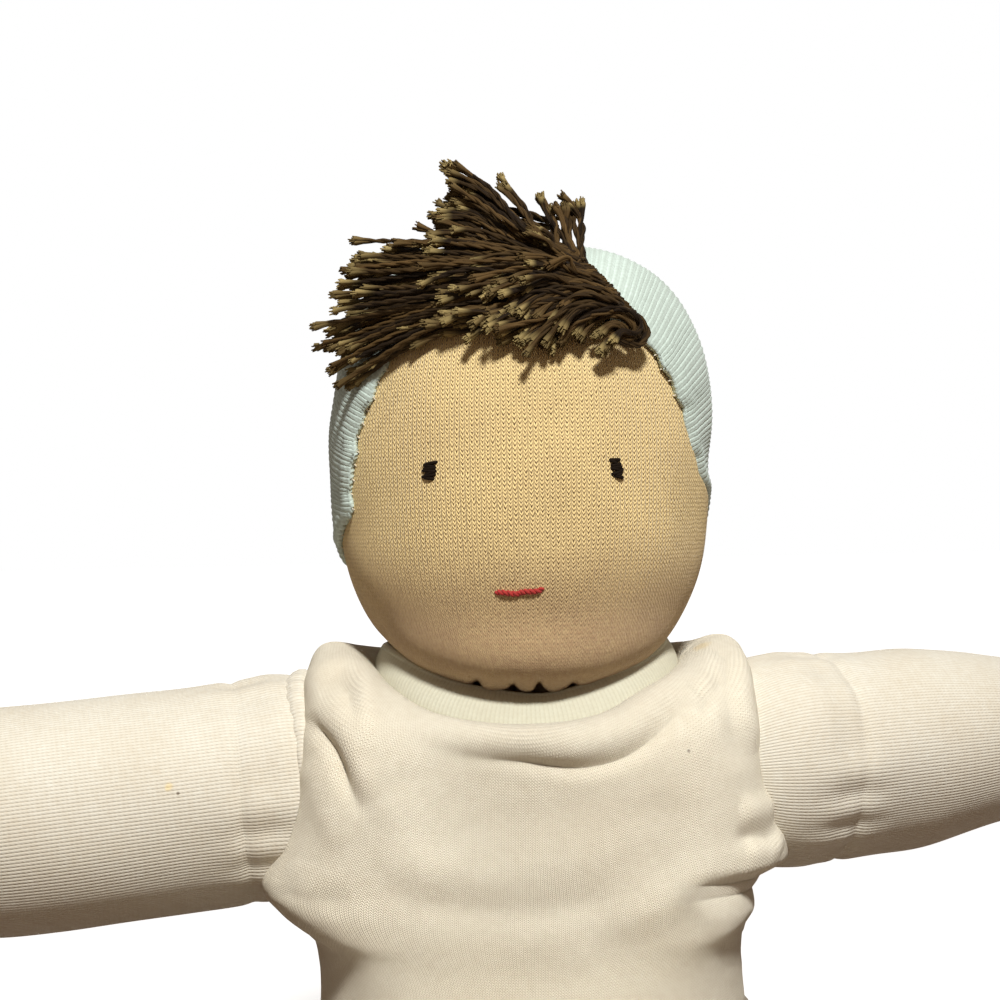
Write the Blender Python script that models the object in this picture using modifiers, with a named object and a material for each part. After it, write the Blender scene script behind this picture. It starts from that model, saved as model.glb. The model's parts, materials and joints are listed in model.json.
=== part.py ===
"""A seated rag doll of stuffed knit cloth, in metres, +Z up, facing -Y.

The origin lies on the flat seat, under the neck. The doll's left side is +X. Its head turns in the
neck opening, each arm swings and lifts at the armhole, and each leg folds at the hip.
"""
import math

import bmesh
import bpy
from mathutils import Matrix, Vector

# Cloth, thread and the clearances between pieces
SEAT_FLAT = 0.0005
CLOTH_GAP = 0.0003
STUFFING_GAP = 0.0006
JOINT_GAP = 0.0006
JERSEY_THICKNESS = 0.0009
RIB_THICKNESS = 0.0010
SKIN_THICKNESS = 0.0009
THREAD_DIAMETER = 0.0010
THREAD_PITCH = 0.0016
WELD = 0.000001
CUTTER_REACH = 0.200
SEARCH_STEPS = 24

# Torso, from the seat to the top of the shoulders
TORSO_WIDTH = 0.0870
TORSO_DEPTH = 0.0560
SHOULDER_HEIGHT = 0.0982
NECK_OPENING_WIDTH = 0.0504
NECK_OPENING_DEPTH = 0.0490
NECK_VALLEY_DEPTH = 0.0082
NECKBAND_HEIGHT = 0.0054
NECKBAND_THICKNESS = 0.0013
SIDE_SEAM_LEAN = 0.0120
SHOULDER_ROLL_POWER = 1.6

# Head, from the chin to the crown, and its neck
HEAD_WIDTH = 0.0640
HEAD_DEPTH = 0.0622
HEAD_HEIGHT = 0.0745
CHIN_DROP = 0.0078
NECK_RADIUS = 0.0114
NECK_LENGTH = 0.0190
NECK_TIE_LOOPS = 2
NECK_TIE_DROP = 0.0005
EYE_TIE_LOOPS = 2
CAP_THICKNESS = 0.0012
CAP_FRONT_HEIGHT = 0.0610
CAP_SLOPE_DEGREES = 54.0
CAP_HEM_HEIGHT = 0.0105

# Face, embroidered on the front of the head
EYE_SPACING = 0.0302
EYE_HEIGHT = 0.0376
EYE_SIZE = (0.0024, 0.0007, 0.0032)
EYE_SEGMENTS = 8
MOUTH_WIDTH = 0.0074
MOUTH_HEIGHT = 0.0184
MOUTH_THREAD = 0.0009
MOUTH_RISE = 0.0004

# Yarn hair, sewn to a strip on the cap
STRIP_DIAMETER = 0.0030
STRIP_STEPS = 8
LOCK_DIAMETER = 0.0074
LOCK_RISE = 0.0060
LOCK_LIFT_SHARE = 0.8
LOCK_SIDES = 5
RIDGE_SIDES = 8
GROOVE_SIDES = 8

# Arms, each a ball in its armhole with a sleeve, a hand and a tied wrist
SLEEVE_LENGTH = 0.0700
WRIST_RADIUS = 0.0108
HAND_LENGTH = 0.0275
HAND_WIDTH = 0.0220
HAND_THICKNESS = 0.0150
THUMB_DIAMETER = 0.0085
THUMB_LENGTH = 0.0120
THUMB_TILT_DEGREES = 38.0
THUMB_SEGMENTS = 10
WRIST_TIE_LOOPS = 2
ARM_THREAD_LOOPS = 1
ARM_THREAD_ANGLE_DEGREES = 152.0

# Each arm's round top, its waist, its pivot's drop below the shoulders' height, and its forward
# swing and its lift at rest
ARM_BALL_RADIUS = {"left": 0.0186, "right": 0.0195}
ARM_WAIST_RADIUS = {"left": 0.0165, "right": 0.0174}
ARM_PIVOT_DROP = {"left": 0.0212, "right": 0.0243}
ARM_SWING_DEGREES = {"left": -22.0, "right": 12.0}
ARM_LIFT_DEGREES = {"left": 1.5, "right": -4.7}

# Legs, each a ball under the front of the torso with a cover, a foot and a tied ankle
LEG_BALL_RADIUS = 0.0168
LEG_WAIST_RADIUS = 0.0145
LEG_LENGTH = 0.0960
LEG_SPACING = 0.0372
LEG_PIVOT_FRONT = 0.0160
LEG_GROUND_GAP = 0.0004
ANKLE_RADIUS = 0.0098
FOOT_HEIGHT = 0.0410
FOOT_WIDTH = 0.0225
FOOT_THICKNESS = 0.0195
HEEL_FULLNESS = 0.86
TOE_SWELL = 0.20
TOE_SWELL_POWER = 0.8
FOOT_SQUARENESS = 0.45
FOOT_SEGMENTS = 14
ANKLE_TIE_LOOPS = 2

# How many points the round forms have
FORM_SEGMENTS = 24
HEAD_SEGMENTS = 20
LIMB_SEGMENTS = 16
BALL_SEGMENTS = 22
BALL_STEPS = 5
LOOP_POINTS = 24

# Heights of the neckline at the sides, the front and the back, as shares of the shoulders' height
NECKLINE_HEIGHT_SHARES = (0.940, 0.872, 0.942)

# Each row's way out from the neckline to the full width, its front and back depth as shares of half
# the depth, its side, front and back height as shares of the shoulders' height, and its squareness
TORSO_ROW_SHARES = [
    (0.120, 0.960, 0.930, 0.970, 0.860, 0.964, 2.1),
    (0.270, 0.990, 0.965, 0.991, 0.840, 0.948, 2.4),
    (0.430, 0.985, 0.985, 1.000, 0.818, 0.922, 3.0),
    (0.560, 0.985, 0.990, 0.993, 0.794, 0.892, 3.6),
    (0.630, 0.988, 0.995, 0.966, 0.764, 0.856, 4.0),
    (0.680, 0.992, 1.000, 0.908, 0.724, 0.815, 4.2),
    (0.720, 1.000, 1.000, 0.836, 0.678, 0.764, 4.2),
    (0.790, 1.005, 1.000, 0.760, 0.632, 0.703, 4.2),
    (0.920, 1.010, 0.995, 0.690, 0.592, 0.650, 4.0),
    (1.000, 1.015, 0.990, 0.636, 0.548, 0.590, 3.8),
    (0.900, 1.020, 0.985, 0.590, 0.510, 0.536, 3.4),
    (0.720, 1.025, 0.980, 0.556, 0.476, 0.491, 3.0),
    (0.600, 1.030, 0.980, 0.518, 0.438, 0.448, 2.8),
    (0.550, 1.035, 0.985, 0.438, 0.387, 0.387, 2.6),
    (0.600, 1.040, 0.990, 0.336, 0.316, 0.316, 2.6),
    (0.700, 1.030, 1.000, 0.224, 0.224, 0.224, 2.6),
    (0.730, 1.000, 0.995, 0.132, 0.132, 0.132, 2.6),
    (0.650, 0.940, 0.950, 0.066, 0.066, 0.066, 2.6),
    (0.430, 0.830, 0.860, 0.024, 0.024, 0.024, 2.6),
    (0.150, 0.690, 0.740, 0.004, 0.004, 0.004, 2.5),
]

# Reach from the neck to the neckline, and drop from the neckline to the valley's floor
NECK_VALLEY_SHARES = [(0.80, 0.55), (0.58, 1.00)]

# Height and radius of the head, as shares of its height and half width
HEAD_PROFILE_SHARES = [
    (0.042, 0.475), (0.093, 0.685), (0.161, 0.832), (0.270, 0.947), (0.400, 0.990), (0.560, 1.000),
    (0.690, 0.972), (0.800, 0.902), (0.885, 0.800), (0.945, 0.645), (0.983, 0.420), (1.000, 0.000),
]

# Place along each sleeve, and its radius there as a share of its waist
SLEEVE_PROFILE_SHARES = {
    "left": [(0.25, 1.015), (0.38, 1.005), (0.52, 0.930), (0.66, 0.845), (0.80, 0.775), (0.92, 0.710)],
    "right": [(0.25, 1.025), (0.42, 1.065), (0.60, 1.070), (0.76, 1.040), (0.87, 0.920), (0.95, 0.760)],
}

# Place along the hand and the thumb, and half width there, as shares of their length and half width
HAND_PROFILE_SHARES = [
    (0.06, 0.86), (0.20, 0.95), (0.42, 1.00), (0.64, 0.97), (0.82, 0.82), (0.94, 0.52), (1.00, 0.00),
]
THUMB_PROFILE_SHARES = [(0.0, 0.0), (0.0, 0.7), (0.3, 1.0), (0.7, 0.9), (0.92, 0.55), (1.0, 0.0)]

# Place along a leg from its hip to its ankle, and its radius there as a share of its waist
LEG_PROFILE_SHARES = [
    (0.26, 1.02), (0.50, 1.02), (0.74, 0.93), (0.93, 0.80),
]

# Hair locks: root along the strip, then the tip in head widths, depths and heights, and fullness
HAIR_LOCK_SHARES = [
    (0.83, -0.51, -0.24, 0.815, 0.80), (0.91, -0.47, -0.34, 0.715, 0.85),
    (0.77, -0.44, -0.26, 0.880, 1.00), (0.70, -0.46, -0.12, 0.945, 0.90),
    (0.60, -0.41, -0.20, 1.000, 1.05), (0.50, -0.31, -0.24, 1.050, 1.05),
    (0.40, -0.25, -0.18, 1.120, 0.95), (0.28, -0.20, -0.12, 1.205, 0.80),
    (0.18, -0.09, -0.15, 1.180, 0.80), (0.08, 0.05, -0.10, 1.155, 0.65),
    (0.03, 0.13, -0.08, 1.125, 0.60), (0.96, 0.20, -0.44, 0.735, 0.45),
    (0.94, -0.14, -0.50, 0.845, 1.00), (0.86, -0.30, -0.44, 0.830, 1.00),
    (0.89, 0.02, -0.50, 0.860, 0.95),
]
STRIP_START_SHARES = (0.16, -0.22, 0.90)
STRIP_END_SHARES = (0.60, -0.55, 0.62)
LOCK_POINT_SHARES = (0.00, 0.25, 0.50, 0.75, 1.00)
LOCK_TAPER_SHARES = (0.70, 1.00, 1.00, 0.85, 0.55)

chin_height = SHOULDER_HEIGHT - CHIN_DROP
head_centre = Vector((0.0, 0.0, chin_height + HEAD_HEIGHT / 2))
thread_radius = THREAD_DIAMETER / 2


def clear_scene():
    """Remove every object that the scene already holds."""
    for item in list(bpy.data.objects):
        bpy.data.objects.remove(item, do_unlink=True)


def new_collection(name):
    """Make a collection in the scene."""
    collection = bpy.data.collections.new(name)
    bpy.context.scene.collection.children.link(collection)
    return collection


clear_scene()
doll_parts = new_collection("waldorf_doll")
cutters = new_collection("cutters")


def new_material(name, colour, roughness):
    """Make a plain Principled material."""
    material = bpy.data.materials.new(name)
    material.use_nodes = True
    shader = material.node_tree.nodes["Principled BSDF"]
    shader.inputs["Base Color"].default_value = (*colour, 1.0)
    shader.inputs["Roughness"].default_value = roughness
    shader.inputs["Metallic"].default_value = 0.0
    return material


wool = new_material("wool_stuffing", (0.82, 0.76, 0.66), 0.95)
skin_knit = new_material("skin_knit", (0.76, 0.56, 0.37), 0.90)
jersey = new_material("white_jersey", (0.82, 0.79, 0.72), 0.90)
cream_rib = new_material("cream_rib_knit", (0.80, 0.75, 0.64), 0.92)
mint_rib = new_material("mint_rib_knit", (0.62, 0.78, 0.74), 0.92)
yarn = new_material("brown_yarn", (0.14, 0.085, 0.045), 0.90)
dark_floss = new_material("dark_floss", (0.045, 0.028, 0.020), 0.70)
red_floss = new_material("red_floss", (0.60, 0.05, 0.04), 0.70)
sewing_thread = new_material("sewing_thread", (0.84, 0.80, 0.70), 0.80)


def new_object(name, bm, material, parent=None, collection=doll_parts):
    """Turn a bmesh into a smooth named object."""
    mesh = bpy.data.meshes.new(name)
    bmesh.ops.recalc_face_normals(bm, faces=bm.faces)
    bm.to_mesh(mesh)
    bm.free()
    mesh.shade_smooth()
    item = bpy.data.objects.new(name, mesh)
    collection.objects.link(item)
    if material:
        mesh.materials.append(material)
    item.parent = parent
    return item


def as_cutter(item):
    """Hide a cutter, so that it only shapes other pieces."""
    item.hide_render = True
    item.display_type = "WIRE"
    return item


def new_cutter(name, bm, parent=None):
    """Make a cutter from a bmesh."""
    return as_cutter(new_object(name, bm, None, parent, cutters))


def boolean(item, other, operation="DIFFERENCE"):
    """Cut a piece with a cutter, or join the cutter to it."""
    modifier = item.modifiers.new(other.name, "BOOLEAN")
    modifier.operation = operation
    modifier.solver = "EXACT"
    modifier.object = other


def thicken(item, thickness):
    """Give an open surface the thickness of its cloth, inwards."""
    modifier = item.modifiers.new("cloth", "SOLIDIFY")
    modifier.thickness = thickness
    modifier.offset = -1.0
    modifier.use_even_offset = True


def turned(outline, segments):
    """Turn an outline of radius and height about Z, and weld its poles."""
    bm = bmesh.new()
    points = [bm.verts.new((radius, 0.0, height)) for radius, height in outline]
    edges = [bm.edges.new(pair) for pair in zip(points, points[1:])]
    bmesh.ops.spin(bm, geom=points + edges, cent=(0, 0, 0), axis=(0, 0, 1),
                   angle=math.tau, steps=segments, use_merge=True)
    bmesh.ops.remove_doubles(bm, verts=bm.verts, dist=WELD)
    return bm


def loft(rows, close_start=False, close_end=False, ring=False):
    """Bridge rows of points, each a closed loop; a ring joins the last row to the first."""
    bm = bmesh.new()
    loops = [[bm.verts.new(point) for point in row] for row in rows]
    pairs = list(zip(loops, loops[1:]))
    if ring:
        pairs.append((loops[-1], loops[0]))
    for first, second in pairs:
        for index in range(len(first)):
            after = (index + 1) % len(first)
            bm.faces.new((first[index], first[after], second[after], second[index]))
    for wanted, row in ((close_start, loops[0]), (close_end, loops[-1])):
        if wanted:
            bm.faces.new(row)
    return bm


def ball_cutter(name, centre, radius):
    """Make a round cutter for a ball joint's socket."""
    bm = bmesh.new()
    bmesh.ops.create_uvsphere(bm, u_segments=BALL_SEGMENTS, v_segments=BALL_SEGMENTS // 2, radius=radius)
    bmesh.ops.translate(bm, vec=centre, verts=bm.verts)
    return new_cutter(name, bm)


def box_cutter(name, low, high):
    """Make a block cutter between two corners."""
    bm = bmesh.new()
    bmesh.ops.create_cube(bm, size=1.0)
    size = Vector(high) - Vector(low)
    bmesh.ops.scale(bm, vec=size, verts=bm.verts)
    bmesh.ops.translate(bm, vec=Vector(low) + size / 2, verts=bm.verts)
    return new_cutter(name, bm)


def new_empty(name, matrix, parent=None):
    """Make an empty that carries the pieces of a moving body."""
    empty = bpy.data.objects.new(name, None)
    doll_parts.objects.link(empty)
    empty.parent = parent
    empty.matrix_world = matrix
    return empty


def limb_matrix(origin, along, up):
    """Place a limb's frame, with its +Z along the limb and its +X upwards."""
    across = along.cross(up)
    turn = Matrix((up, across, along)).transposed().to_4x4()
    return Matrix.Translation(origin) @ turn


def thread_tube(name, points, diameter, material, parent=None):
    """Draw a thread as one unbroken tube through points."""
    curve = bpy.data.curves.new(name, "CURVE")
    curve.dimensions = "3D"
    curve.bevel_depth = diameter / 2
    curve.bevel_resolution = 1
    curve.use_fill_caps = True
    spline = curve.splines.new("POLY")
    spline.points.add(len(points) - 1)
    for target, point in zip(spline.points, points):
        target.co = (*point, 1.0)
    curve.materials.append(material)
    item = bpy.data.objects.new(name, curve)
    doll_parts.objects.link(item)
    item.parent = parent
    return item


def report_self_gap(name, points, diameter):
    """Measure how near a wound thread comes to its own next turn, and print it."""
    nearest = min(
        (first - second).length
        for index, first in enumerate(points)
        for second in points[index + LOOP_POINTS // 2:]
    )
    print(f"{name}: least gap to itself {(nearest - diameter) * 1000:.2f} mm")


def winding(name, half_x, half_y, height, loops, parent=None):
    """Wind a thread round an oval neck, one loop below the other."""
    points = []
    for index in range(loops * LOOP_POINTS + 1):
        turn = index / LOOP_POINTS
        angle = math.tau * turn
        points.append(Vector((half_x * math.cos(angle), half_y * math.sin(angle),
                              height - THREAD_PITCH * turn)))
    report_self_gap(name, points, THREAD_DIAMETER)
    return thread_tube(name, points, THREAD_DIAMETER, sewing_thread, parent)


def offset_outline(outline, distance):
    """Move an outline of radius and height by a distance, outwards when positive."""
    points = [Vector(point) for point in outline]
    normals = []
    for first, second in zip(points, points[1:]):
        run = (second - first).normalized()
        normals.append(Vector((run.y, -run.x)))
    moved = []
    for index, point in enumerate(points):
        before = normals[max(index - 1, 0)]
        after = normals[min(index, len(normals) - 1)]
        if point.x == 0.0:
            before = after = Vector((0.0, -1.0 if index == 0 else 1.0))
        middle = (before + after).normalized()
        corner = point + middle * distance / middle.dot(before)
        moved.append((max(corner.x, 0.0), corner.y))
    return moved


def superellipse(half_width, front, back, heights, squareness):
    """One row of the torso: a rounded loop whose front, sides and back have their own heights."""
    side, ahead, behind = heights
    row = []
    for index in range(FORM_SEGMENTS):
        angle = math.tau * index / FORM_SEGMENTS
        cosine, sine = math.cos(angle), math.sin(angle)
        depth = back if sine > 0 else front
        reach = (abs(cosine) ** squareness + abs(sine) ** squareness) ** (-1 / squareness)
        end = behind if sine > 0 else ahead
        height = side + (end - side) * abs(sine) ** SHOULDER_ROLL_POWER
        row.append(Vector((half_width * reach * cosine, depth * reach * sine, height)))
    return row


def torso_rows():
    """The torso's rows, from the neckline over the shoulders and down to the seat."""
    neck_half, depth_half = NECK_OPENING_WIDTH / 2, TORSO_DEPTH / 2
    heights = [share * SHOULDER_HEIGHT for share in NECKLINE_HEIGHT_SHARES]
    rows = [superellipse(neck_half, NECK_OPENING_DEPTH / 2, NECK_OPENING_DEPTH / 2, heights, 2.0)]
    for way_out, front, back, side, ahead, behind, squareness in TORSO_ROW_SHARES:
        half_width = neck_half + (TORSO_WIDTH / 2 - neck_half) * way_out
        heights = [share * SHOULDER_HEIGHT for share in (side, ahead, behind)]
        rows.append(superellipse(half_width, front * depth_half, back * depth_half, heights, squareness))
    return rows


def facet_depth(radius, segments):
    """How far the middle of a facet lies inside its circle."""
    return radius * (1 - math.cos(math.pi / segments))


def inward(bm, distance):
    """Move every point of a closed form inwards along its normal."""
    bm.normal_update()
    steps = [(vert, vert.normal.copy()) for vert in bm.verts]
    for vert, normal in steps:
        vert.co -= normal * distance


# Torso and its joint sockets

arm_pivots = {
    side: Vector((sign * TORSO_WIDTH / 2, 0.0, SHOULDER_HEIGHT - ARM_PIVOT_DROP[side]))
    for side, sign in (("left", 1), ("right", -1))
}
leg_pivot_height = LEG_BALL_RADIUS + LEG_GROUND_GAP
leg_pivots = {
    side: Vector((sign * LEG_SPACING / 2, -LEG_PIVOT_FRONT, leg_pivot_height))
    for side, sign in (("left", 1), ("right", -1))
}
thigh_clearance = LEG_WAIST_RADIUS * max(share for _, share in LEG_PROFILE_SHARES) + JOINT_GAP
seat_pole = -SEAT_FLAT
neckline_row = torso_rows()[0]
neck_hole_radius = NECK_RADIUS + CLOTH_GAP
neck_floor = neckline_row[0].z - NECK_VALLEY_DEPTH

arm_mouths = [ball_cutter(f"armhole_cutter_{side}", centre, ARM_BALL_RADIUS[side] + JOINT_GAP)
              for side, centre in arm_pivots.items()]
thread_room = CLOTH_GAP + THREAD_DIAMETER + JOINT_GAP
arm_sockets = [ball_cutter(f"arm_socket_cutter_{side}", centre, ARM_BALL_RADIUS[side] + thread_room)
               for side, centre in arm_pivots.items()]


def lap_cutters(label, growth):
    """The space under the belly where the thighs fold, swing and sit, grown by a cloth's thickness."""
    far = CUTTER_REACH
    lap_top = leg_pivot_height + thigh_clearance + growth
    seat_front = thigh_clearance + growth - LEG_PIVOT_FRONT
    crease_radius = LEG_BALL_RADIUS + JOINT_GAP + growth
    crease = turned([(0.0, -TORSO_WIDTH), (crease_radius, -TORSO_WIDTH),
                     (crease_radius, TORSO_WIDTH), (0.0, TORSO_WIDTH)], FORM_SEGMENTS)
    bmesh.ops.rotate(crease, verts=crease.verts, matrix=Matrix.Rotation(math.pi / 2, 3, "Y"))
    bmesh.ops.translate(crease, verts=crease.verts, vec=(0.0, -LEG_PIVOT_FRONT, leg_pivot_height))
    return [
        box_cutter(f"lap_cutter_{label}", (-far, -far, -far), (far, -LEG_PIVOT_FRONT, lap_top)),
        box_cutter(f"under_cutter_{label}", (-far, -far, -far), (far, seat_front, leg_pivot_height)),
        box_cutter(f"seat_cutter_{label}", (-far, -far, -far), (far, far, growth)),
        new_cutter(f"crease_cutter_{label}", crease),
    ]


def torso_form(inset):
    """The torso as a closed form: a valley round the neck, the shoulders, the sides and the seat."""
    rows = torso_rows()
    bowl = []
    for reach_share, drop_share in NECK_VALLEY_SHARES:
        bowl.append([Vector((point.x * reach_share, point.y * reach_share,
                             point.z + (neck_floor - point.z) * drop_share)) for point in rows[0]])
    form = loft(bowl[::-1] + rows, close_start=True)
    rim = [vert for vert in form.verts if vert.is_boundary]
    rim.sort(key=lambda vert: math.atan2(vert.co.y, vert.co.x))
    pole = form.verts.new((0.0, 0.0, seat_pole))
    for index, vert in enumerate(rim):
        form.faces.new((vert, rim[(index + 1) % len(rim)], pole))
    bmesh.ops.recalc_face_normals(form, faces=form.faces)
    inward(form, inset)
    return form


def make_neck_hole():
    """The cutter for the hole that the neck stands in."""
    bottom = chin_height - NECK_LENGTH - CLOTH_GAP
    hole = turned([(0.0, bottom), (neck_hole_radius, bottom),
                   (neck_hole_radius, SHOULDER_HEIGHT), (0.0, SHOULDER_HEIGHT)], HEAD_SEGMENTS)
    return new_cutter("neck_hole_cutter", hole)


neck_hole = make_neck_hole()


def make_torso_core():
    """The wool stuffing of the torso, with sockets for the arms and a hole for the neck."""
    inset = JERSEY_THICKNESS + STUFFING_GAP
    core = new_object("torso_core", torso_form(inset), wool)
    for cutter in arm_sockets + lap_cutters("core", inset) + [neck_hole]:
        boolean(core, cutter)


def make_stuffing_space():
    """The inside of the jersey, which hollows its panels."""
    space = new_cutter("stuffing_space", torso_form(JERSEY_THICKNESS))
    for cutter in lap_cutters("space", JERSEY_THICKNESS):
        boolean(space, cutter)
    return space


stuffing_space = make_stuffing_space()
panel_cutters = lap_cutters("panel", 0.0) + [stuffing_space, neck_hole]


def make_panel(name, front):
    """A jersey panel of the body, from the neck to the seat, on one side of the side seams."""
    panel = new_object(name, torso_form(0.0), jersey)
    far, half_gap = CUTTER_REACH, CLOTH_GAP / 2
    low, high = ((-far, -half_gap, -far), (far, far, far)) if front else \
        ((-far, -far, -far), (far, half_gap, far))
    seam = box_cutter(f"side_seam_cutter_{name}", low, high)
    seam.rotation_euler.x = -math.atan2(SIDE_SEAM_LEAN, SHOULDER_HEIGHT)
    seam.location = (0.0, 0.0, SHOULDER_HEIGHT)
    for cutter in arm_mouths + [seam] + panel_cutters:
        boolean(panel, cutter)


def make_neckband():
    """The ribbed band that stands on the neckline."""
    half_x, half_y = NECK_OPENING_WIDTH / 2, NECK_OPENING_DEPTH / 2
    rows = []
    for inset, lift in ((0.0, CLOTH_GAP), (0.0, CLOTH_GAP + NECKBAND_HEIGHT),
                        (NECKBAND_THICKNESS, CLOTH_GAP + NECKBAND_HEIGHT),
                        (NECKBAND_THICKNESS, CLOTH_GAP)):
        row = []
        for index, point in enumerate(neckline_row):
            angle = math.tau * index / FORM_SEGMENTS
            row.append(Vector(((half_x - inset) * math.cos(angle), (half_y - inset) * math.sin(angle),
                               point.z + lift)))
        rows.append(row)
    new_object("neckband", loft(rows, ring=True), cream_rib)


make_torso_core()
make_panel("front_panel", front=True)
make_panel("back_panel", front=False)
make_neckband()

# Head

head_pivot = new_empty("head_pivot", Matrix.Translation((0.0, 0.0, chin_height)))
head_ratio = HEAD_DEPTH / HEAD_WIDTH
neck_bottom = chin_height - NECK_LENGTH
neck_top = chin_height + HEAD_PROFILE_SHARES[0][0] * HEAD_HEIGHT / 2
head_outline = [(NECK_RADIUS, neck_bottom), (NECK_RADIUS, neck_top)] + [
    (radius * HEAD_WIDTH / 2, chin_height + height * HEAD_HEIGHT)
    for height, radius in HEAD_PROFILE_SHARES
]


def flatten_depth(bm, extra=0.0):
    """Draw a turned head form in from front to back, more and more above its round neck."""
    ratio = (HEAD_DEPTH + 2 * extra) / (HEAD_WIDTH + 2 * extra)
    full_height = HEAD_PROFILE_SHARES[3][0] * HEAD_HEIGHT
    for vert in bm.verts:
        share = min(max((vert.co.z - neck_top) / full_height, 0.0), 1.0)
        vert.co.y *= 1 + (ratio - 1) * share


def to_head(bm):
    """Write a form about the head's pivot."""
    bmesh.ops.translate(bm, vec=(0.0, 0.0, -chin_height), verts=bm.verts)


def head_radius(height):
    """The head's half width at a height above the seat."""
    for (low_radius, low), (high_radius, high) in zip(head_outline, head_outline[1:]):
        if low <= height <= high and high > low:
            return low_radius + (high_radius - low_radius) * (height - low) / (high - low)
    return 0.0


def on_head(toward, lift):
    """The point above the head's surface in a direction from the head's middle."""
    direction = Vector(toward).normalized()
    near, far = 0.0, HEAD_HEIGHT
    for _ in range(SEARCH_STEPS):
        middle = (near + far) / 2
        point = head_centre + direction * middle
        if math.hypot(point.x, point.y / head_ratio) < head_radius(point.z):
            near = middle
        else:
            far = middle
    return head_centre + direction * (near + lift)


eye_line = chin_height + EYE_HEIGHT
eye_tie_depth = (SKIN_THICKNESS + CLOTH_GAP + thread_radius
                 + facet_depth(head_radius(eye_line), HEAD_SEGMENTS))
eye_tie_radius = head_radius(eye_line) - eye_tie_depth
eye_groove_height = THREAD_PITCH * EYE_TIE_LOOPS / 2 + THREAD_DIAMETER


def make_head_core():
    """The wound wool ball of the head with its neck, grooved where the eye line is tied."""
    inset = SKIN_THICKNESS + STUFFING_GAP
    inner = offset_outline(head_outline, -inset)
    inner[0] = (inner[0][0], neck_bottom)
    groove_radius = (eye_tie_radius - thread_radius - CLOTH_GAP
                     - facet_depth(eye_tie_radius, LOOP_POINTS))
    lip_radius = head_radius(eye_line) - inset
    groove = [(lip_radius, eye_line - eye_groove_height - THREAD_DIAMETER),
              (groove_radius, eye_line - eye_groove_height),
              (groove_radius, eye_line + eye_groove_height),
              (lip_radius, eye_line + eye_groove_height + THREAD_DIAMETER)]
    below = [point for point in inner if point[1] < groove[0][1] - THREAD_DIAMETER]
    above = [point for point in inner if point[1] > groove[-1][1] + THREAD_DIAMETER]
    form = turned([(0.0, neck_bottom)] + below + groove + above, HEAD_SEGMENTS)
    flatten_depth(form, -inset)
    to_head(form)
    new_object("head_core", form, wool, head_pivot)


def make_head_skin():
    """The knit skin drawn over the head and tied round the neck."""
    form = turned(head_outline, HEAD_SEGMENTS)
    flatten_depth(form)
    to_head(form)
    thicken(new_object("head_skin", form, skin_knit, head_pivot), SKIN_THICKNESS)


def make_head_ties():
    """The strong threads round the neck and, under the skin, round the eye line."""
    neck_tie_radius = NECK_RADIUS + CLOTH_GAP + thread_radius
    winding("neck_tie", neck_tie_radius, neck_tie_radius, -NECK_TIE_DROP, NECK_TIE_LOOPS, head_pivot)
    winding("eye_line_tie", eye_tie_radius, eye_tie_radius * head_ratio,
            EYE_HEIGHT + THREAD_PITCH * EYE_TIE_LOOPS / 2, EYE_TIE_LOOPS, head_pivot)


cap_lift = CLOTH_GAP + CAP_THICKNESS


def make_cap():
    """The ribbed cap over the back of the head, cut off on a slope in front of it."""
    outline = offset_outline(head_outline, cap_lift)
    form = turned([point for point in outline if point[1] > chin_height + CAP_HEM_HEIGHT], HEAD_SEGMENTS)
    flatten_depth(form, cap_lift)
    bmesh.ops.recalc_face_normals(form, faces=form.faces)
    slope = math.radians(CAP_SLOPE_DEGREES)
    front_point = on_head((0.0, -head_radius(chin_height + CAP_FRONT_HEIGHT) * head_ratio,
                           chin_height + CAP_FRONT_HEIGHT - head_centre.z), 0.0)
    bmesh.ops.bisect_plane(form, geom=form.verts[:] + form.edges[:] + form.faces[:], dist=WELD,
                           plane_co=front_point, plane_no=(0.0, math.sin(slope), math.cos(slope)),
                           clear_inner=True)
    to_head(form)
    thicken(new_object("hair_cap", form, mint_rib, head_pivot), CAP_THICKNESS)


def make_face():
    """Two embroidered eyes and a short stitched mouth, each laid on the skin."""
    for name, sign in (("eye_left", 1), ("eye_right", -1)):
        width, thickness, height = EYE_SIZE
        lift = CLOTH_GAP + thickness / 2
        across = sign * EYE_SPACING / 2
        rise = eye_line - head_centre.z
        ahead = -math.sqrt(head_radius(eye_line) ** 2 - across ** 2) * head_ratio
        place = on_head((across, ahead, rise), lift)
        bm = bmesh.new()
        bmesh.ops.create_uvsphere(bm, u_segments=EYE_SEGMENTS, v_segments=EYE_SEGMENTS - 2, radius=1.0)
        bmesh.ops.scale(bm, vec=(width / 2, thickness / 2, height / 2), verts=bm.verts)
        turn = Matrix.Rotation(math.atan2(across, -ahead), 3, "Z")
        bmesh.ops.rotate(bm, verts=bm.verts, matrix=turn)
        eye = new_object(name, bm, dark_floss, head_pivot)
        eye.location = place - Vector((0.0, 0.0, chin_height))
    points = []
    for share in (-0.5, -0.25, 0.0, 0.25, 0.5):
        across = share * MOUTH_WIDTH
        height = chin_height + MOUTH_HEIGHT + MOUTH_RISE * share
        ahead = -math.sqrt(head_radius(height) ** 2 - across ** 2) * head_ratio
        point = on_head((across, ahead, height - head_centre.z), CLOTH_GAP + MOUTH_THREAD / 2)
        points.append(point - Vector((0.0, 0.0, chin_height)))
    thread_tube("mouth", points, MOUTH_THREAD, red_floss, head_pivot)


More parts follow.
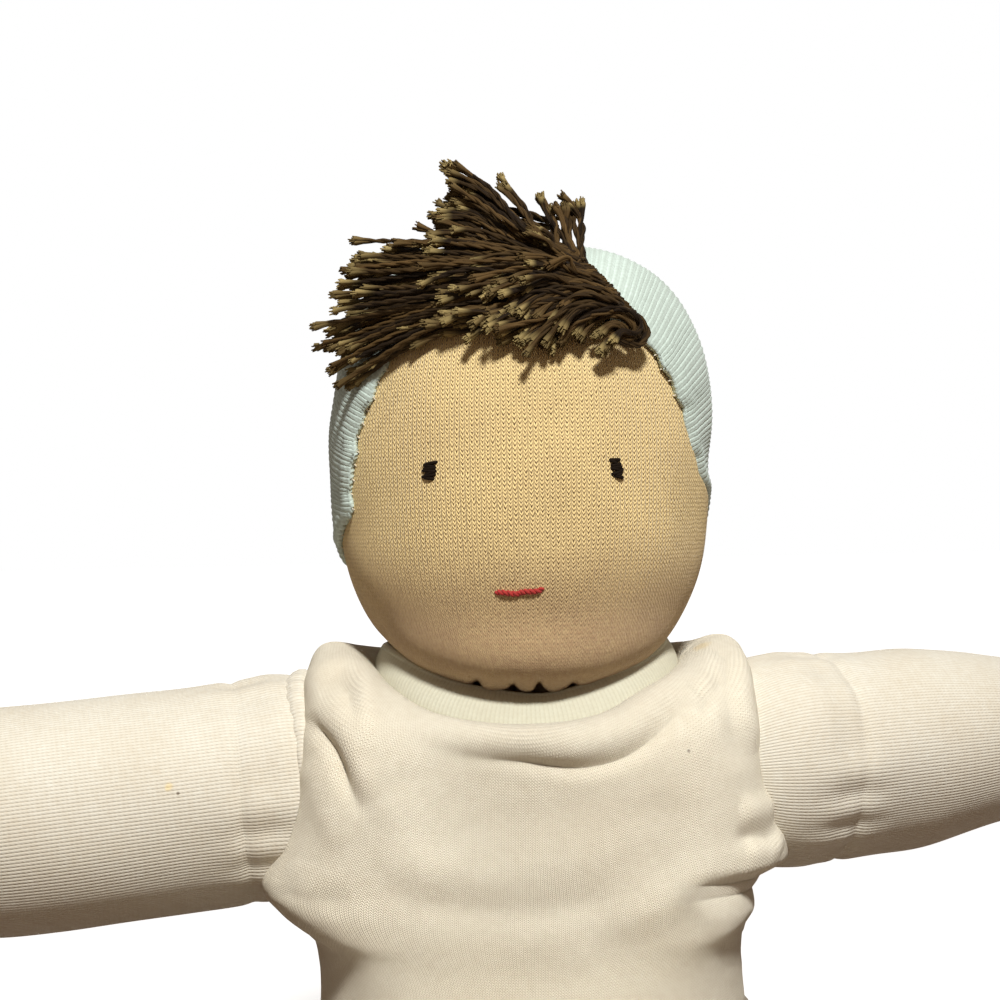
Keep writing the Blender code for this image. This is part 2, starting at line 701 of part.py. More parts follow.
def swept(points, radii, sides):
    """A round form along a path, thicker and thinner as its radii say."""
    rows = []
    for index, (point, radius) in enumerate(zip(points, radii)):
        ahead = points[min(index + 1, len(points) - 1)] - points[max(index - 1, 0)]
        turn = ahead.to_track_quat("Z", "Y")
        rows.append([point + turn @ Vector((radius * math.cos(math.tau * side / sides),
                                            radius * math.sin(math.tau * side / sides), 0.0))
                     for side in range(sides)])
    return loft(rows, close_start=True, close_end=True)


def make_hair():
    """The strip on the cap and the tuft of yarn swept from it over the forehead."""
    start, end = Vector(STRIP_START_SHARES), Vector(STRIP_END_SHARES)
    strip_lift = cap_lift + CLOTH_GAP + STRIP_DIAMETER / 2
    strip_points = [on_head(start.lerp(end, step / STRIP_STEPS), strip_lift)
                    for step in range(STRIP_STEPS + 1)]
    down = Vector((0.0, 0.0, -chin_height))
    thread_tube("hair_strip", [point + down for point in strip_points], STRIP_DIAMETER, yarn, head_pivot)

    lock_radius = LOCK_DIAMETER / 2
    root_lift = strip_lift + STRIP_DIAMETER / 2 + CLOTH_GAP + lock_radius
    ridge = [on_head(start.lerp(end, share), root_lift) + down for share in LOCK_POINT_SHARES]
    tuft = new_object("hair_tuft", swept(ridge, [lock_radius] * len(ridge), RIDGE_SIDES), yarn, head_pivot)
    for number, (root, across, ahead, rise, fullness) in enumerate(HAIR_LOCK_SHARES):
        foot = on_head(start.lerp(end, root), root_lift)
        tip = Vector((across * HEAD_WIDTH, ahead * HEAD_DEPTH, chin_height + rise * HEAD_HEIGHT))
        points = []
        for share in LOCK_POINT_SHARES:
            point = foot.lerp(tip, share)
            bow = LOCK_RISE * 4 * share * (1 - share)
            direction = (point - head_centre).normalized()
            nearest = on_head(direction, cap_lift + CLOTH_GAP + lock_radius * fullness * LOCK_LIFT_SHARE)
            reach = max((point - head_centre).length + bow, (nearest - head_centre).length)
            points.append(head_centre + direction * reach + down)
        radii = [lock_radius * fullness * taper for taper in LOCK_TAPER_SHARES]
        lock = new_cutter(f"lock_{number}", swept(points, radii, LOCK_SIDES), head_pivot)
        boolean(tuft, lock, "UNION")
    bed = turned(offset_outline(head_outline, cap_lift + CLOTH_GAP), HEAD_SEGMENTS)
    bmesh.ops.holes_fill(bed, edges=[edge for edge in bed.edges if edge.is_boundary])
    flatten_depth(bed, cap_lift + CLOTH_GAP)
    to_head(bed)
    boolean(tuft, new_cutter("hair_bed_cutter", bed, head_pivot))
    groove = swept([point + down for point in strip_points],
                   [STRIP_DIAMETER / 2 + CLOTH_GAP] * len(strip_points), GROOVE_SIDES)
    boolean(tuft, new_cutter("strip_groove_cutter", groove, head_pivot))


make_head_core()
make_head_skin()
make_head_ties()
make_cap()
make_face()
make_hair()


def cuff_length(loops):
    """The straight end of a cover that its tie winds round."""
    return loops * THREAD_PITCH + 2 * THREAD_DIAMETER


def wound_radius(radius):
    """The radius at which a thread winds round a neck without cutting into it."""
    return radius + CLOTH_GAP + thread_radius + facet_depth(radius, LOOP_POINTS)


def ball_outline(radius, waist):
    """The outline of a ball joint, from its inner pole to where the limb's waist meets it."""
    last = math.asin(waist / radius)
    steps = [math.pi + (last - math.pi) * index / BALL_STEPS for index in range(BALL_STEPS + 1)]
    outline = [(radius * math.sin(angle), radius * math.cos(angle)) for angle in steps]
    outline[0] = (0.0, -radius)
    return outline


def make_cover(name, outline, thickness, material, parent):
    """The knit cover of a limb, closed over the ball and open at its tied end."""
    thicken(new_object(name, turned(outline, LIMB_SEGMENTS), material, parent), thickness)


def make_core(name, outline, inset, end, parent):
    """The wool inside a limb's cover, ending before the hand or foot."""
    inner = offset_outline(outline, -inset)
    beyond = next(index for index, point in enumerate(inner) if point[1] >= end)
    kept = inner[:beyond]
    (near_radius, near), (far_radius, far) = kept[-1], inner[beyond]
    end_radius = near_radius + (far_radius - near_radius) * (end - near) / (far - near)
    form = turned(kept + [(end_radius, end), (0.0, end)], LIMB_SEGMENTS)
    new_object(name, form, wool, parent)


def make_arm(side):
    """One arm: the thread in its armhole, the stuffed sleeve, the wrist tie and the hand."""
    ball_radius, waist_radius = ARM_BALL_RADIUS[side], ARM_WAIST_RADIUS[side]
    sign = 1 if side == "left" else -1
    swing, lift = math.radians(ARM_SWING_DEGREES[side]), math.radians(ARM_LIFT_DEGREES[side])
    level = Vector((sign * math.cos(swing), -math.sin(swing), 0.0))
    pivot = arm_pivots[side]
    swing_empty = new_empty(f"shoulder_{side}_pivot", limb_matrix(pivot, level, Vector((0, 0, 1))))
    along = level * math.cos(lift) + Vector((0.0, 0.0, math.sin(lift)))
    up = level * -math.sin(lift) + Vector((0.0, 0.0, math.cos(lift)))
    arm = new_empty(f"arm_{side}_pivot", limb_matrix(pivot, along, up))

    points = []
    thread_reach = ball_radius + CLOTH_GAP + thread_radius
    first = math.radians(ARM_THREAD_ANGLE_DEGREES)
    for index in range(ARM_THREAD_LOOPS * LOOP_POINTS + 1):
        turn = index / LOOP_POINTS
        polar = first + turn * THREAD_PITCH / thread_reach
        points.append(Vector((thread_reach * math.sin(polar) * math.cos(math.tau * turn),
                              thread_reach * math.sin(polar) * math.sin(math.tau * turn),
                              thread_reach * math.cos(polar))))
    report_self_gap(f"shoulder_thread_{side}", points, THREAD_DIAMETER)
    thread_tube(f"shoulder_thread_{side}", points, THREAD_DIAMETER, sewing_thread, swing_empty)

    cuff_start = SLEEVE_LENGTH - cuff_length(WRIST_TIE_LOOPS)
    outline = ball_outline(ball_radius, waist_radius)
    outline += [(waist_radius * share, place * cuff_start) for place, share in SLEEVE_PROFILE_SHARES[side]]
    outline += [(WRIST_RADIUS, cuff_start), (WRIST_RADIUS, SLEEVE_LENGTH)]
    make_cover(f"sleeve_{side}", outline, RIB_THICKNESS, cream_rib, arm)
    stub = WRIST_RADIUS - RIB_THICKNESS - CLOTH_GAP
    make_core(f"arm_core_{side}", outline, RIB_THICKNESS + CLOTH_GAP, cuff_start - CLOTH_GAP, arm)
    tie_radius = wound_radius(WRIST_RADIUS)
    winding(f"wrist_tie_{side}", tie_radius, tie_radius, SLEEVE_LENGTH - THREAD_DIAMETER,
            WRIST_TIE_LOOPS, arm)
    make_hand(side, stub, cuff_start, arm)


def make_hand(side, stub, stub_start, arm):
    """A mitten hand of skin knit, with its stub inside the sleeve and a thumb above."""
    half = HAND_WIDTH / 2
    outline = [(0.0, stub_start), (stub, stub_start), (stub, SLEEVE_LENGTH + CLOTH_GAP)]
    outline += [(half * share, SLEEVE_LENGTH + place * HAND_LENGTH) for place, share in HAND_PROFILE_SHARES]
    form = turned(outline, LIMB_SEGMENTS)
    for vert in form.verts:
        beyond = (vert.co.z - SLEEVE_LENGTH) / HAND_LENGTH
        if beyond > 0:
            full = min(beyond / HAND_PROFILE_SHARES[1][0], 1.0)
            vert.co.y *= 1 + (HAND_THICKNESS / HAND_WIDTH - 1) * full
    hand = new_object(f"hand_{side}", form, skin_knit, arm)
    thumb = turned([(share * THUMB_DIAMETER / 2, place * THUMB_LENGTH)
                    for place, share in THUMB_PROFILE_SHARES], THUMB_SEGMENTS)
    bmesh.ops.rotate(thumb, verts=thumb.verts, matrix=Matrix.Rotation(math.radians(THUMB_TILT_DEGREES), 3, "Y"))
    bmesh.ops.translate(thumb, verts=thumb.verts,
                        vec=(half * HAND_PROFILE_SHARES[1][1] - THUMB_DIAMETER / 2, 0.0,
                             SLEEVE_LENGTH + HAND_PROFILE_SHARES[1][0] * HAND_LENGTH))
    boolean(hand, new_cutter(f"thumb_{side}", thumb, arm), "UNION")


def make_leg(side):
    """One leg: the stuffed cover, the ankle tie and the foot with its toes up."""
    pivot = leg_pivots[side]
    leg = new_empty(f"leg_{side}_pivot", limb_matrix(pivot, Vector((0, -1, 0)), Vector((0, 0, 1))))
    outline = ball_outline(LEG_BALL_RADIUS, LEG_WAIST_RADIUS)
    cuff_start = LEG_LENGTH - cuff_length(ANKLE_TIE_LOOPS)
    outline += [(LEG_WAIST_RADIUS * share, place * cuff_start) for place, share in LEG_PROFILE_SHARES]
    outline += [(ANKLE_RADIUS, cuff_start), (ANKLE_RADIUS, LEG_LENGTH)]
    make_cover(f"leg_cover_{side}", outline, RIB_THICKNESS, cream_rib, leg)
    stub = ANKLE_RADIUS - RIB_THICKNESS - CLOTH_GAP
    make_core(f"leg_core_{side}", outline, RIB_THICKNESS + CLOTH_GAP, cuff_start - CLOTH_GAP, leg)
    tie_radius = wound_radius(ANKLE_RADIUS)
    winding(f"ankle_tie_{side}", tie_radius, tie_radius, LEG_LENGTH - THREAD_DIAMETER,
            ANKLE_TIE_LOOPS, leg)

    bm = turned([(0.0, cuff_start), (stub, cuff_start), (stub, LEG_LENGTH + FOOT_THICKNESS / 2),
                 (0.0, LEG_LENGTH + FOOT_THICKNESS / 2)], LIMB_SEGMENTS)
    foot = new_object(f"foot_{side}", bm, skin_knit, leg)
    sole = bmesh.new()
    bmesh.ops.create_uvsphere(sole, u_segments=FOOT_SEGMENTS, v_segments=FOOT_SEGMENTS - 4, radius=1.0)
    heel_height = -leg_pivot_height - SEAT_FLAT
    for vert in sole.verts:
        toe_share = (vert.co.z + 1) / 2
        fullness = HEEL_FULLNESS + TOE_SWELL * math.sin(math.pi * toe_share ** TOE_SWELL_POWER)
        square = (vert.co.x ** 4 + vert.co.y ** 4 + vert.co.z ** 4) ** -0.25
        vert.co *= 1 + (square - 1) * FOOT_SQUARENESS
        vert.co.x *= FOOT_THICKNESS / 2 * fullness
        vert.co.y *= FOOT_WIDTH / 2 * fullness
        vert.co.z *= FOOT_HEIGHT / 2
    bmesh.ops.rotate(sole, verts=sole.verts, matrix=Matrix.Rotation(math.pi / 2, 3, "Y"))
    lowest = min(vert.co.x for vert in sole.verts)
    bmesh.ops.translate(sole, verts=sole.verts, vec=(
        heel_height - lowest, 0.0, LEG_LENGTH + CLOTH_GAP + FOOT_THICKNESS / 2))
    boolean(foot, new_cutter(f"sole_{side}", sole, leg), "UNION")
    boolean(foot, floor_cutter)


floor_cutter = box_cutter(
    "floor_cutter", (-CUTTER_REACH, -CUTTER_REACH, -CUTTER_REACH), (CUTTER_REACH, CUTTER_REACH, 0.0))
for arm_side in ARM_BALL_RADIUS:
    make_arm(arm_side)
for leg_side in leg_pivots:
    make_leg(leg_side)
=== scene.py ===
import json
import math

import bmesh
import bpy
import numpy as np
from mathutils import Matrix, Vector


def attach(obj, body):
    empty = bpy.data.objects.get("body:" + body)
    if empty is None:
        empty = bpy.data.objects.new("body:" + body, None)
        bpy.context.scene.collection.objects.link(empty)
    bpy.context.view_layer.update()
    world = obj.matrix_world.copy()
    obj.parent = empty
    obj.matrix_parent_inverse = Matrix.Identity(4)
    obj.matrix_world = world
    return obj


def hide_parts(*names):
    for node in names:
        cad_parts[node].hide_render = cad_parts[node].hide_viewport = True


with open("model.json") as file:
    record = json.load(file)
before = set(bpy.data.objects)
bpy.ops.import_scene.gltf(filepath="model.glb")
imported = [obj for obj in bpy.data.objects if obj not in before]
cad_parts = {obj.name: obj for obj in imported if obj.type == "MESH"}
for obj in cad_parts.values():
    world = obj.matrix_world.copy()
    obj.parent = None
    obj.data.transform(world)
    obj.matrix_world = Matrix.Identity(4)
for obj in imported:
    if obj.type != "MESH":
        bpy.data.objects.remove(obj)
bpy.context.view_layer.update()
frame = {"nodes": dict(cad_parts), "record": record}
joints = {joint["name"]: joint for joint in frame["record"]["behaviour"]["joints"]}

# The studio. A level camera looks at the doll from 38 cm away, rolled a little because the doll is
# held askew. One soft lamp hangs above it, in front and towards its right arm, and the white floor
# keeps the doll's shadow.
CAMERA_PLACE = (-0.0040, -0.380, 0.1228)
CAMERA_LENS = 79.2
CAMERA_ROLL = 1.15
LAMP_PLACE = Vector((0.10, -0.70, 0.86))
LAMP_TARGET = Vector((0.0, 0.0, 0.10))
LAMP_SIZE = 0.15
LAMP_POWER = 14.3
LAMP_COLOUR = (1.0, 1.0, 0.98)
FILL_COLOUR = (1.0, 0.82, 0.66, 1.0)
FILL_STRENGTH = 0.21
FLOOR_SIZE = 8.0
FLOOR_BOUNCE = (0.16, 0.11, 0.08, 1.0)
FLOOR_GREY = 0.62
FLOOR_NEAR, FLOOR_FAR = 0.35, 0.80


class Wire:
    """A socket of a material, on which Python's operators add Math nodes."""

    def __init__(self, tree, socket=None):
        self.tree = tree
        self.socket = socket

    def node(self, kind, settings=(), values=(), out=0):
        """Add a node: its settings first, then the values or links of its sockets."""
        item = self.tree.nodes.new("ShaderNode" + kind)
        for name, setting in dict(settings).items():
            setattr(item, name, setting)
        for name, value in dict(values).items():
            if isinstance(value, Wire):
                value.feed(item.inputs[name])
            else:
                item.inputs[name].default_value = value
        return Wire(self.tree, item.outputs[out])

    def feed(self, socket):
        """Link this socket to another one."""
        self.tree.links.new(self.socket, socket)

    def step(self, low, high, **limits):
        """Rise smoothly from 0 to 1 while this value goes from a low to a high one."""
        limits = {name.replace("_", " ").title(): value for name, value in limits.items()}
        return self.node("MapRange", {"interpolation_type": "SMOOTHSTEP"},
                         {"Value": self, "From Min": low, "From Max": high, **limits})

    def maths(self, operation, *values):
        return self.node("Math", {"operation": operation}, enumerate(values))

    def __add__(self, other):
        return self.maths("ADD", self, other)

    def __sub__(self, other):
        return self.maths("SUBTRACT", self, other)

    def __rsub__(self, other):
        return self.maths("SUBTRACT", other, self)

    def __mul__(self, other):
        return self.maths("MULTIPLY", self, other)

    def __truediv__(self, other):
        return self.maths("DIVIDE", self, other)

    def __mod__(self, other):
        return self.maths("FLOORED_MODULO", self, other)

    def __pow__(self, other):
        return self.maths("POWER", self, other)

    def __abs__(self):
        return self.maths("ABSOLUTE", self)

    __radd__, __rmul__ = __add__, __mul__


def mixed(factor, first, second):
    """A colour between two others."""
    return factor.node("Mix", {"data_type": "RGBA"}, {0: factor, 6: first, 7: second}, out=2)


def place_object(name, data):
    """Put an object into the scene."""
    item = bpy.data.objects.new(name, data)
    bpy.context.scene.collection.objects.link(item)
    return item


camera = place_object("camera", bpy.data.cameras.new("camera"))
camera.data.lens = CAMERA_LENS
camera.location = CAMERA_PLACE
camera.rotation_euler = (math.radians(90), math.radians(CAMERA_ROLL), 0)
bpy.context.scene.camera = camera
bpy.context.scene.view_settings.view_transform = "Standard"

lamp = place_object("key_lamp", bpy.data.lights.new("key_lamp", "AREA"))
lamp.data.shape = "DISK"
lamp.data.size = LAMP_SIZE
lamp.data.energy = LAMP_POWER
lamp.data.color = LAMP_COLOUR
lamp.location = LAMP_PLACE
lamp.rotation_euler = (LAMP_TARGET - lamp.location).to_track_quat("-Z", "Y").to_euler()

world = bpy.data.worlds.new("studio")
world.use_nodes = True
bpy.context.scene.world = world
sky = Wire(world.node_tree)


def seen_ray(wire):
    """1 on rays from the camera, and on those that a shiny or clear surface sends."""
    camera, glossy, clear = [wire.node("LightPath", out=f"Is {kind} Ray")
                             for kind in ("Camera", "Glossy", "Transmission")]
    return wire.maths("MAXIMUM", camera, wire.maths("MAXIMUM", glossy, clear))


backdrop = world.node_tree.nodes["Background"]
mixed(seen_ray(sky), FILL_COLOUR, (1, 1, 1, 1)).feed(backdrop.inputs["Color"])
(seen_ray(sky) * (1 - FILL_STRENGTH) + FILL_STRENGTH).feed(backdrop.inputs["Strength"])

floor_paint = bpy.data.materials.new("white_floor")
floor_paint.use_nodes = True
floor_wire = Wire(floor_paint.node_tree)
floor_shader = floor_paint.node_tree.nodes["Principled BSDF"]
floor_shader.inputs["Roughness"].default_value = 0.9
floor_shader.inputs["Specular IOR Level"].default_value = 0.0
mixed(seen_ray(floor_wire), FLOOR_BOUNCE, (FLOOR_GREY,) * 3 + (1,)).feed(floor_shader.inputs["Base Color"])
floor_place = floor_wire.node("TexCoord", out="Object")
floor_way = floor_wire.node("VectorMath", {"operation": "LENGTH"}, {0: floor_place}, out="Value")
floor_far = floor_way.step(FLOOR_NEAR, FLOOR_FAR, to_min=FLOOR_GREY, to_max=1.0)
floor_glow = floor_wire.node("Emission", {}, {"Strength": seen_ray(floor_wire) * floor_far})
floor_sum = floor_wire.node("AddShader", {}, {1: floor_glow})
Wire(floor_paint.node_tree, floor_shader.outputs[0]).feed(floor_sum.socket.node.inputs[0])
floor_sum.feed(floor_paint.node_tree.nodes["Material Output"].inputs["Surface"])
floor_mesh = bpy.data.meshes.new("floor")
half = FLOOR_SIZE / 2
floor_mesh.from_pydata([(-half, -half, 0), (half, -half, 0), (half, half, 0), (-half, half, 0)],
                       [], [(0, 1, 2, 3)])
floor_mesh.materials.append(floor_paint)
place_object("floor", floor_mesh)

# The body, a sack of cotton jersey in a front and a back panel, sewn at the sides and stuffed with
# wool. Its neckline, armholes and lap are cut as the arms, the neck and the legs need.
TORSO_WIDTH = 0.0870
TORSO_DEPTH = 0.0560
SHOULDER_HEIGHT = 0.0982
NECK_OPENING = (0.0504, 0.0490)
NECK_VALLEY_DEPTH = 0.0082
SHOULDER_ROLL_POWER = 1.6
SIDE_SEAM_LEAN = 0.0120
NECKLINE_HEIGHT_SHARES = (0.940, 0.862, 0.942)
TORSO_ROW_SHARES = [
    (0.120, 0.960, 0.930, 0.970, 0.860, 0.964, 2.1),
    (0.270, 0.990, 0.965, 0.991, 0.840, 0.948, 2.4),
    (0.430, 0.985, 0.985, 1.000, 0.818, 0.922, 3.0),
    (0.560, 0.985, 0.990, 0.993, 0.794, 0.892, 3.6),
    (0.630, 0.988, 0.995, 0.966, 0.764, 0.856, 4.0),
    (0.680, 0.992, 1.000, 0.908, 0.724, 0.815, 4.2),
    (0.720, 1.000, 1.000, 0.836, 0.678, 0.764, 4.2),
    (0.790, 1.005, 1.000, 0.760, 0.632, 0.703, 4.2),
    (0.920, 1.010, 0.995, 0.690, 0.592, 0.650, 4.0),
    (1.000, 1.015, 0.990, 0.636, 0.548, 0.590, 3.8),
    (0.900, 1.020, 0.985, 0.590, 0.510, 0.536, 3.4),
    (0.720, 1.025, 0.980, 0.556, 0.476, 0.491, 3.0),
    (0.600, 1.030, 0.980, 0.518, 0.438, 0.448, 2.8),
    (0.550, 1.035, 0.985, 0.438, 0.387, 0.387, 2.6),
    (0.600, 1.040, 0.990, 0.336, 0.316, 0.316, 2.6),
    (0.700, 1.030, 1.000, 0.224, 0.224, 0.224, 2.6),
    (0.730, 1.000, 0.995, 0.132, 0.132, 0.132, 2.6),
    (0.650, 0.940, 0.950, 0.066, 0.066, 0.066, 2.6),
    (0.430, 0.830, 0.860, 0.024, 0.024, 0.024, 2.6),
    (0.150, 0.690, 0.740, 0.004, 0.004, 0.004, 2.5),
]
NECK_VALLEY_SHARES = [(0.46, 1.00), (0.58, 1.00), (0.80, 0.55)]
BODY_COLUMNS, BODY_ROWS = 420, 250
JERSEY_THICKNESS = 0.0009
WELL_DEPTH = 0.0130
ARM_BALLS = {"left": 0.0175, "right": 0.0184}
JERSEY_COLOUR = (0.940, 0.890, 0.745, 1)
JERSEY_SHADE = (0.640, 0.540, 0.380, 1)
SLEEVE_STAIN, SLEEVE_SPOT = (-0.0588, -0.0221, 0.0772), (-0.0573, -0.0221, 0.0761)
SPOT_COLOUR, STAIN_COLOUR = (0.130, 0.090, 0.055, 1), (0.780, 0.600, 0.270, 1)
JERSEY_SPOT, SHOULDER_STAIN = (0.0255, -0.0267, 0.0819), (0.0298, -0.0050, 0.0974)
JERSEY_WALE, JERSEY_COURSE = 0.57, 0.50
WOOL_COLOUR, WOOL_SHADE = (0.88, 0.83, 0.73, 1), (0.62, 0.54, 0.42, 1)

# Folds in the front panel, in millimetres: depth, width, and the line of each across and up the chest
CHEST_FOLDS = [
    (1.15, 2.6, [(-19, 87), (-14.4, 85.4), (-8, 84.3), (-1.6, 83.9), (6, 83.4), (12, 84.4), (18, 87.2),
                (23, 91.6), (26, 96)]),
    (-1.15, 1.5, [(-16, 83.4), (-8, 82), (-1.6, 81.2), (4, 80.2), (8.8, 79.8), (14, 80.8), (17.7, 82.8),
                (22.4, 86.4), (25.9, 89.8), (31.5, 95.6)]),
    (-0.80, 1.3, [(31.6, 92.4), (29.4, 89.8), (27, 86.8)]),
    (0.85, 2, [(32.5, 95.5), (30, 92.4), (27.6, 89.8)]),
    (0.90, 1.7, [(-37, 90.4), (-35.4, 93.4), (-31.1, 95), (-28.4, 93.6), (-26.9, 91), (-26.2, 86),
                (-26.4, 82)]),
    (-0.70, 1.6, [(-34.6, 91.4), (-31.4, 92.4), (-29.2, 90.6), (-28.6, 87)]),
    (-1.70, 1.5, [(-36, 88), (-34.4, 85.8), (-32.1, 83.4), (-30.6, 80.8), (-29.4, 77.6), (-26.7, 72)]),
    (0.80, 2.2, [(-32, 90.5), (-29.4, 86), (-27.4, 80.5), (-25, 75)]),
    (0.60, 2.4, [(-36.5, 80.5), (-34.5, 77.5), (-33, 73), (-31, 67)]),
    (1.00, 2.2, [(40, 70.8), (37.4, 71.2), (35.2, 71.4), (32.8, 71.6)]),
    (-0.90, 1.7, [(32, 68.2), (35, 67.4), (37.6, 66.6), (40, 65.4)]),
    (0.60, 2.2, [(34, 64.8), (37.4, 65), (41, 64.2)]),
    (-1.00, 6, [(-26, 50), (-10, 46.5), (8, 46), (26, 50)]),
    (-0.80, 2.2, [(33.2, 99), (32.4, 92), (32.6, 85), (33.6, 78)]),
    (1.00, 1.7, [(36.3, 99.5), (35.4, 92.4), (35.2, 86.6), (36.4, 80.6)]),
    (-0.60, 3.2, [(-24, 61), (-12, 57.5), (2, 57), (14, 59)]),
    (0.50, 4, [(-28, 68), (-12, 63.5), (4, 63.5), (20, 67)]),
    (-0.55, 3.4, [(30, 57), (20, 52.5), (8, 50)]),
    (0.45, 3.4, [(31, 62), (22, 58), (12, 56)]),
    (-0.60, 2.2, [(-41, 60.5), (-35, 58.5), (-28, 59.5)]),
    (0.45, 4, [(-22, 78), (-20, 68), (-16, 58)]),
    (-0.40, 3.6, [(20, 76), (22, 68), (20, 60)]),
]

# How far the body is drawn in under its left arm and out under its right one, in millimetres, by height
ARMPIT_LEVELS = [43, 50.9, 54.6, 57.9, 60.5, 62.5, 65]
LEFT_TUCKS, RIGHT_TUCKS = [0.3, 1.3, 3.4, 6.4, 5.4, 0.8, 0], [0, 0, -0.4, -1.3, -1.2, -0.7, 0]


def smoothed(rows, steps):
    """Fill rows of numbers or points in between, on a smooth curve through them."""
    rows = np.asarray(rows, float)
    place = np.linspace(0, len(rows) - 1, steps)
    first = np.clip(place.astype(int), 0, len(rows) - 2)
    share = (place - first).reshape(-1, *[1] * (rows.ndim - 1))
    before, start = rows[np.maximum(first - 1, 0)], rows[first]
    end, after = rows[first + 1], rows[np.minimum(first + 2, len(rows) - 1)]
    return start + share / 2 * (end - before + share * (
        2 * before - 5 * start + 4 * end - after + share * (3 * (start - end) + after - before)))


def circle(count):
    """Even angles round a full turn."""
    return np.linspace(0, math.tau, count, endpoint=False)


def joined(*parts):
    """Points from their coordinates, spread over one grid."""
    return np.stack(np.broadcast_arrays(*parts), -1)


def way_along(line):
    """The length of a line up to each of its points."""
    return np.concatenate([[0], np.cumsum(np.linalg.norm(np.diff(line, axis=0), axis=1))])


def evened(line, steps, closed=True):
    """A line resampled at even steps along its length."""
    if closed:
        line = np.concatenate([line, line[:1]])
    way = way_along(line)
    at = np.linspace(0, way[-1], steps, endpoint=not closed)
    return np.stack([np.interp(at, way, axis) for axis in line.T], -1)


def unit(vectors):
    """Vectors of length one."""
    return vectors / np.maximum(np.linalg.norm(vectors, axis=-1, keepdims=True), 1e-12)


def grid_normals(points):
    """The normals of a grid of points that is closed round its columns."""
    along = np.gradient(points, axis=0)
    around = np.roll(points, -1, 1) - np.roll(points, 1, 1)
    return unit(np.cross(around, along))


def lumps(points, size, seed):
    """Soft random unevenness from -1 to 1 over a size in metres."""
    waves = np.random.default_rng(seed)
    total = 0
    for _ in range(9):
        direction = waves.normal(size=3)
        direction *= waves.uniform(0.7, 1.4) * math.tau / size / np.linalg.norm(direction)
        total = total + np.sin(points @ direction + waves.uniform(0, math.tau))
    return total / 5


def bell(distance, width):
    """1 at no distance, and falling off smoothly over a width."""
    return np.exp(-(distance / width) ** 2)


def rise(value, low, high):
    """0 below a value, 1 above another, and smooth in between."""
    share = np.clip((value - low) / (high - low), 0, 1)
    return share * share * (3 - 2 * share)


def folded(across, up, folds):
    """The height of drawn folds over a flat place, all in millimetres. A fold fades out at its ends."""
    total = np.zeros_like(across)
    for depth, width, line in folds:
        line = smoothed(line, 4 * len(line))
        nearest, way = np.full_like(across, 1e9), np.zeros_like(across)
        for step, ((x0, z0), (x1, z1)) in enumerate(zip(line, line[1:])):
            length = max((x1 - x0) ** 2 + (z1 - z0) ** 2, 1e-9)
            share = np.clip(((across - x0) * (x1 - x0) + (up - z0) * (z1 - z0)) / length, 0, 1)
            distance = np.hypot(across - x0 - share * (x1 - x0), up - z0 - share * (z1 - z0))
            way = np.where(distance < nearest, (step + share) / (len(line) - 1), way)
            nearest = np.minimum(nearest, distance)
        total += depth * bell(nearest, width) * rise(way, -0.05, 0.3) * rise(1 - way, -0.05, 0.3)
    return total


def soft_mesh(name, points, faces, places, finish):
    """A smooth mesh object, with the place on the flat knit of each face's corners."""
    mesh = bpy.data.meshes.new(name)
    mesh.from_pydata(points.reshape(-1, 3), [], faces.reshape(-1, 4))
    mesh.uv_layers.new(name="knit").data.foreach_set("uv", places.astype(np.float32).reshape(-1))
    mesh.shade_smooth()
    mesh.materials.append(finish)
    return place_object(name, mesh)


def knit_mesh(name, points, flat, finish):
    """A mesh object of a grid of points that closes round its columns, with each one's place on the knit."""
    rows, columns = points.shape[:2]
    row, column = np.mgrid[0:rows - 1, 0:columns]
    after = (column + 1) % columns
    faces = np.stack([row * columns + column, row * columns + after,
                      (row + 1) * columns + after, (row + 1) * columns + column], -1)
    places = np.stack([flat[row, column], flat[row, column + 1],
                       flat[row + 1, column + 1], flat[row + 1, column]], 2)
    if np.sum(grid_normals(points) * (points - points.mean((0, 1)))) > 0:
        faces, places = faces[..., ::-1], places[:, :, ::-1]
    return soft_mesh(name, points, faces, places, finish)


def add_cloth(item, thickness):
    """Give a surface the thickness of its cloth, inwards."""
    cloth = item.modifiers.new("cloth", "SOLIDIFY")
    cloth.thickness, cloth.offset = thickness, -1.0


def settle(item, body, node=None):
    """Set the body that a piece rides on, and hide the solid that it stands for."""
    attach(item, body)
    if node is not None:
        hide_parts(node)


def flat_knit(columns, around, along):
    """Each grid point's place on the flat knit: so far around, in millimetres, and its way along."""
    return joined(np.linspace(0, around, columns + 1)[None, :], np.asarray(along)[:, None])


def new_finish(name, roughness=0.9, sheen=0.15, gloss=0.25):
    """Start a cloth or yarn finish, and give its wire."""
    finish = bpy.data.materials.new(name)
    finish.use_nodes = True
    shader = finish.node_tree.nodes["Principled BSDF"]
    shader.inputs["Roughness"].default_value = roughness
    shader.inputs["Sheen Weight"].default_value = sheen
    shader.inputs["Sheen Roughness"].default_value = 0.6
    shader.inputs["Specular IOR Level"].default_value = gloss
    return finish, Wire(finish.node_tree)


def dress(finish, colour, height, depth):
    """Give a finish its colour and its relief, whose height runs from 0 to 1 over a depth in metres."""
    shader = finish.node_tree.nodes["Principled BSDF"]
    bump = colour.node("Bump", {}, {"Strength": 1.0, "Distance": depth, "Height": height})
    colour.feed(shader.inputs["Base Color"])
    bump.feed(shader.inputs["Normal"])


def flat_place(wire):
    """A point's place around and along the flat knit, in millimetres."""
    place = wire.node("UVMap", {"uv_map": "knit"})
    return [wire.node("SeparateXYZ", {}, {0: place}, out=axis) for axis in (0, 1)]


def mottle(wire, scale, detail=2.0):
    """Uneven patches over the piece itself, from 0 to 1."""
    place = wire.node("TexCoord", out="Object")
    return wire.node("TexNoise", {}, {"Vector": place, "Scale": scale, "Detail": detail}, out=0)


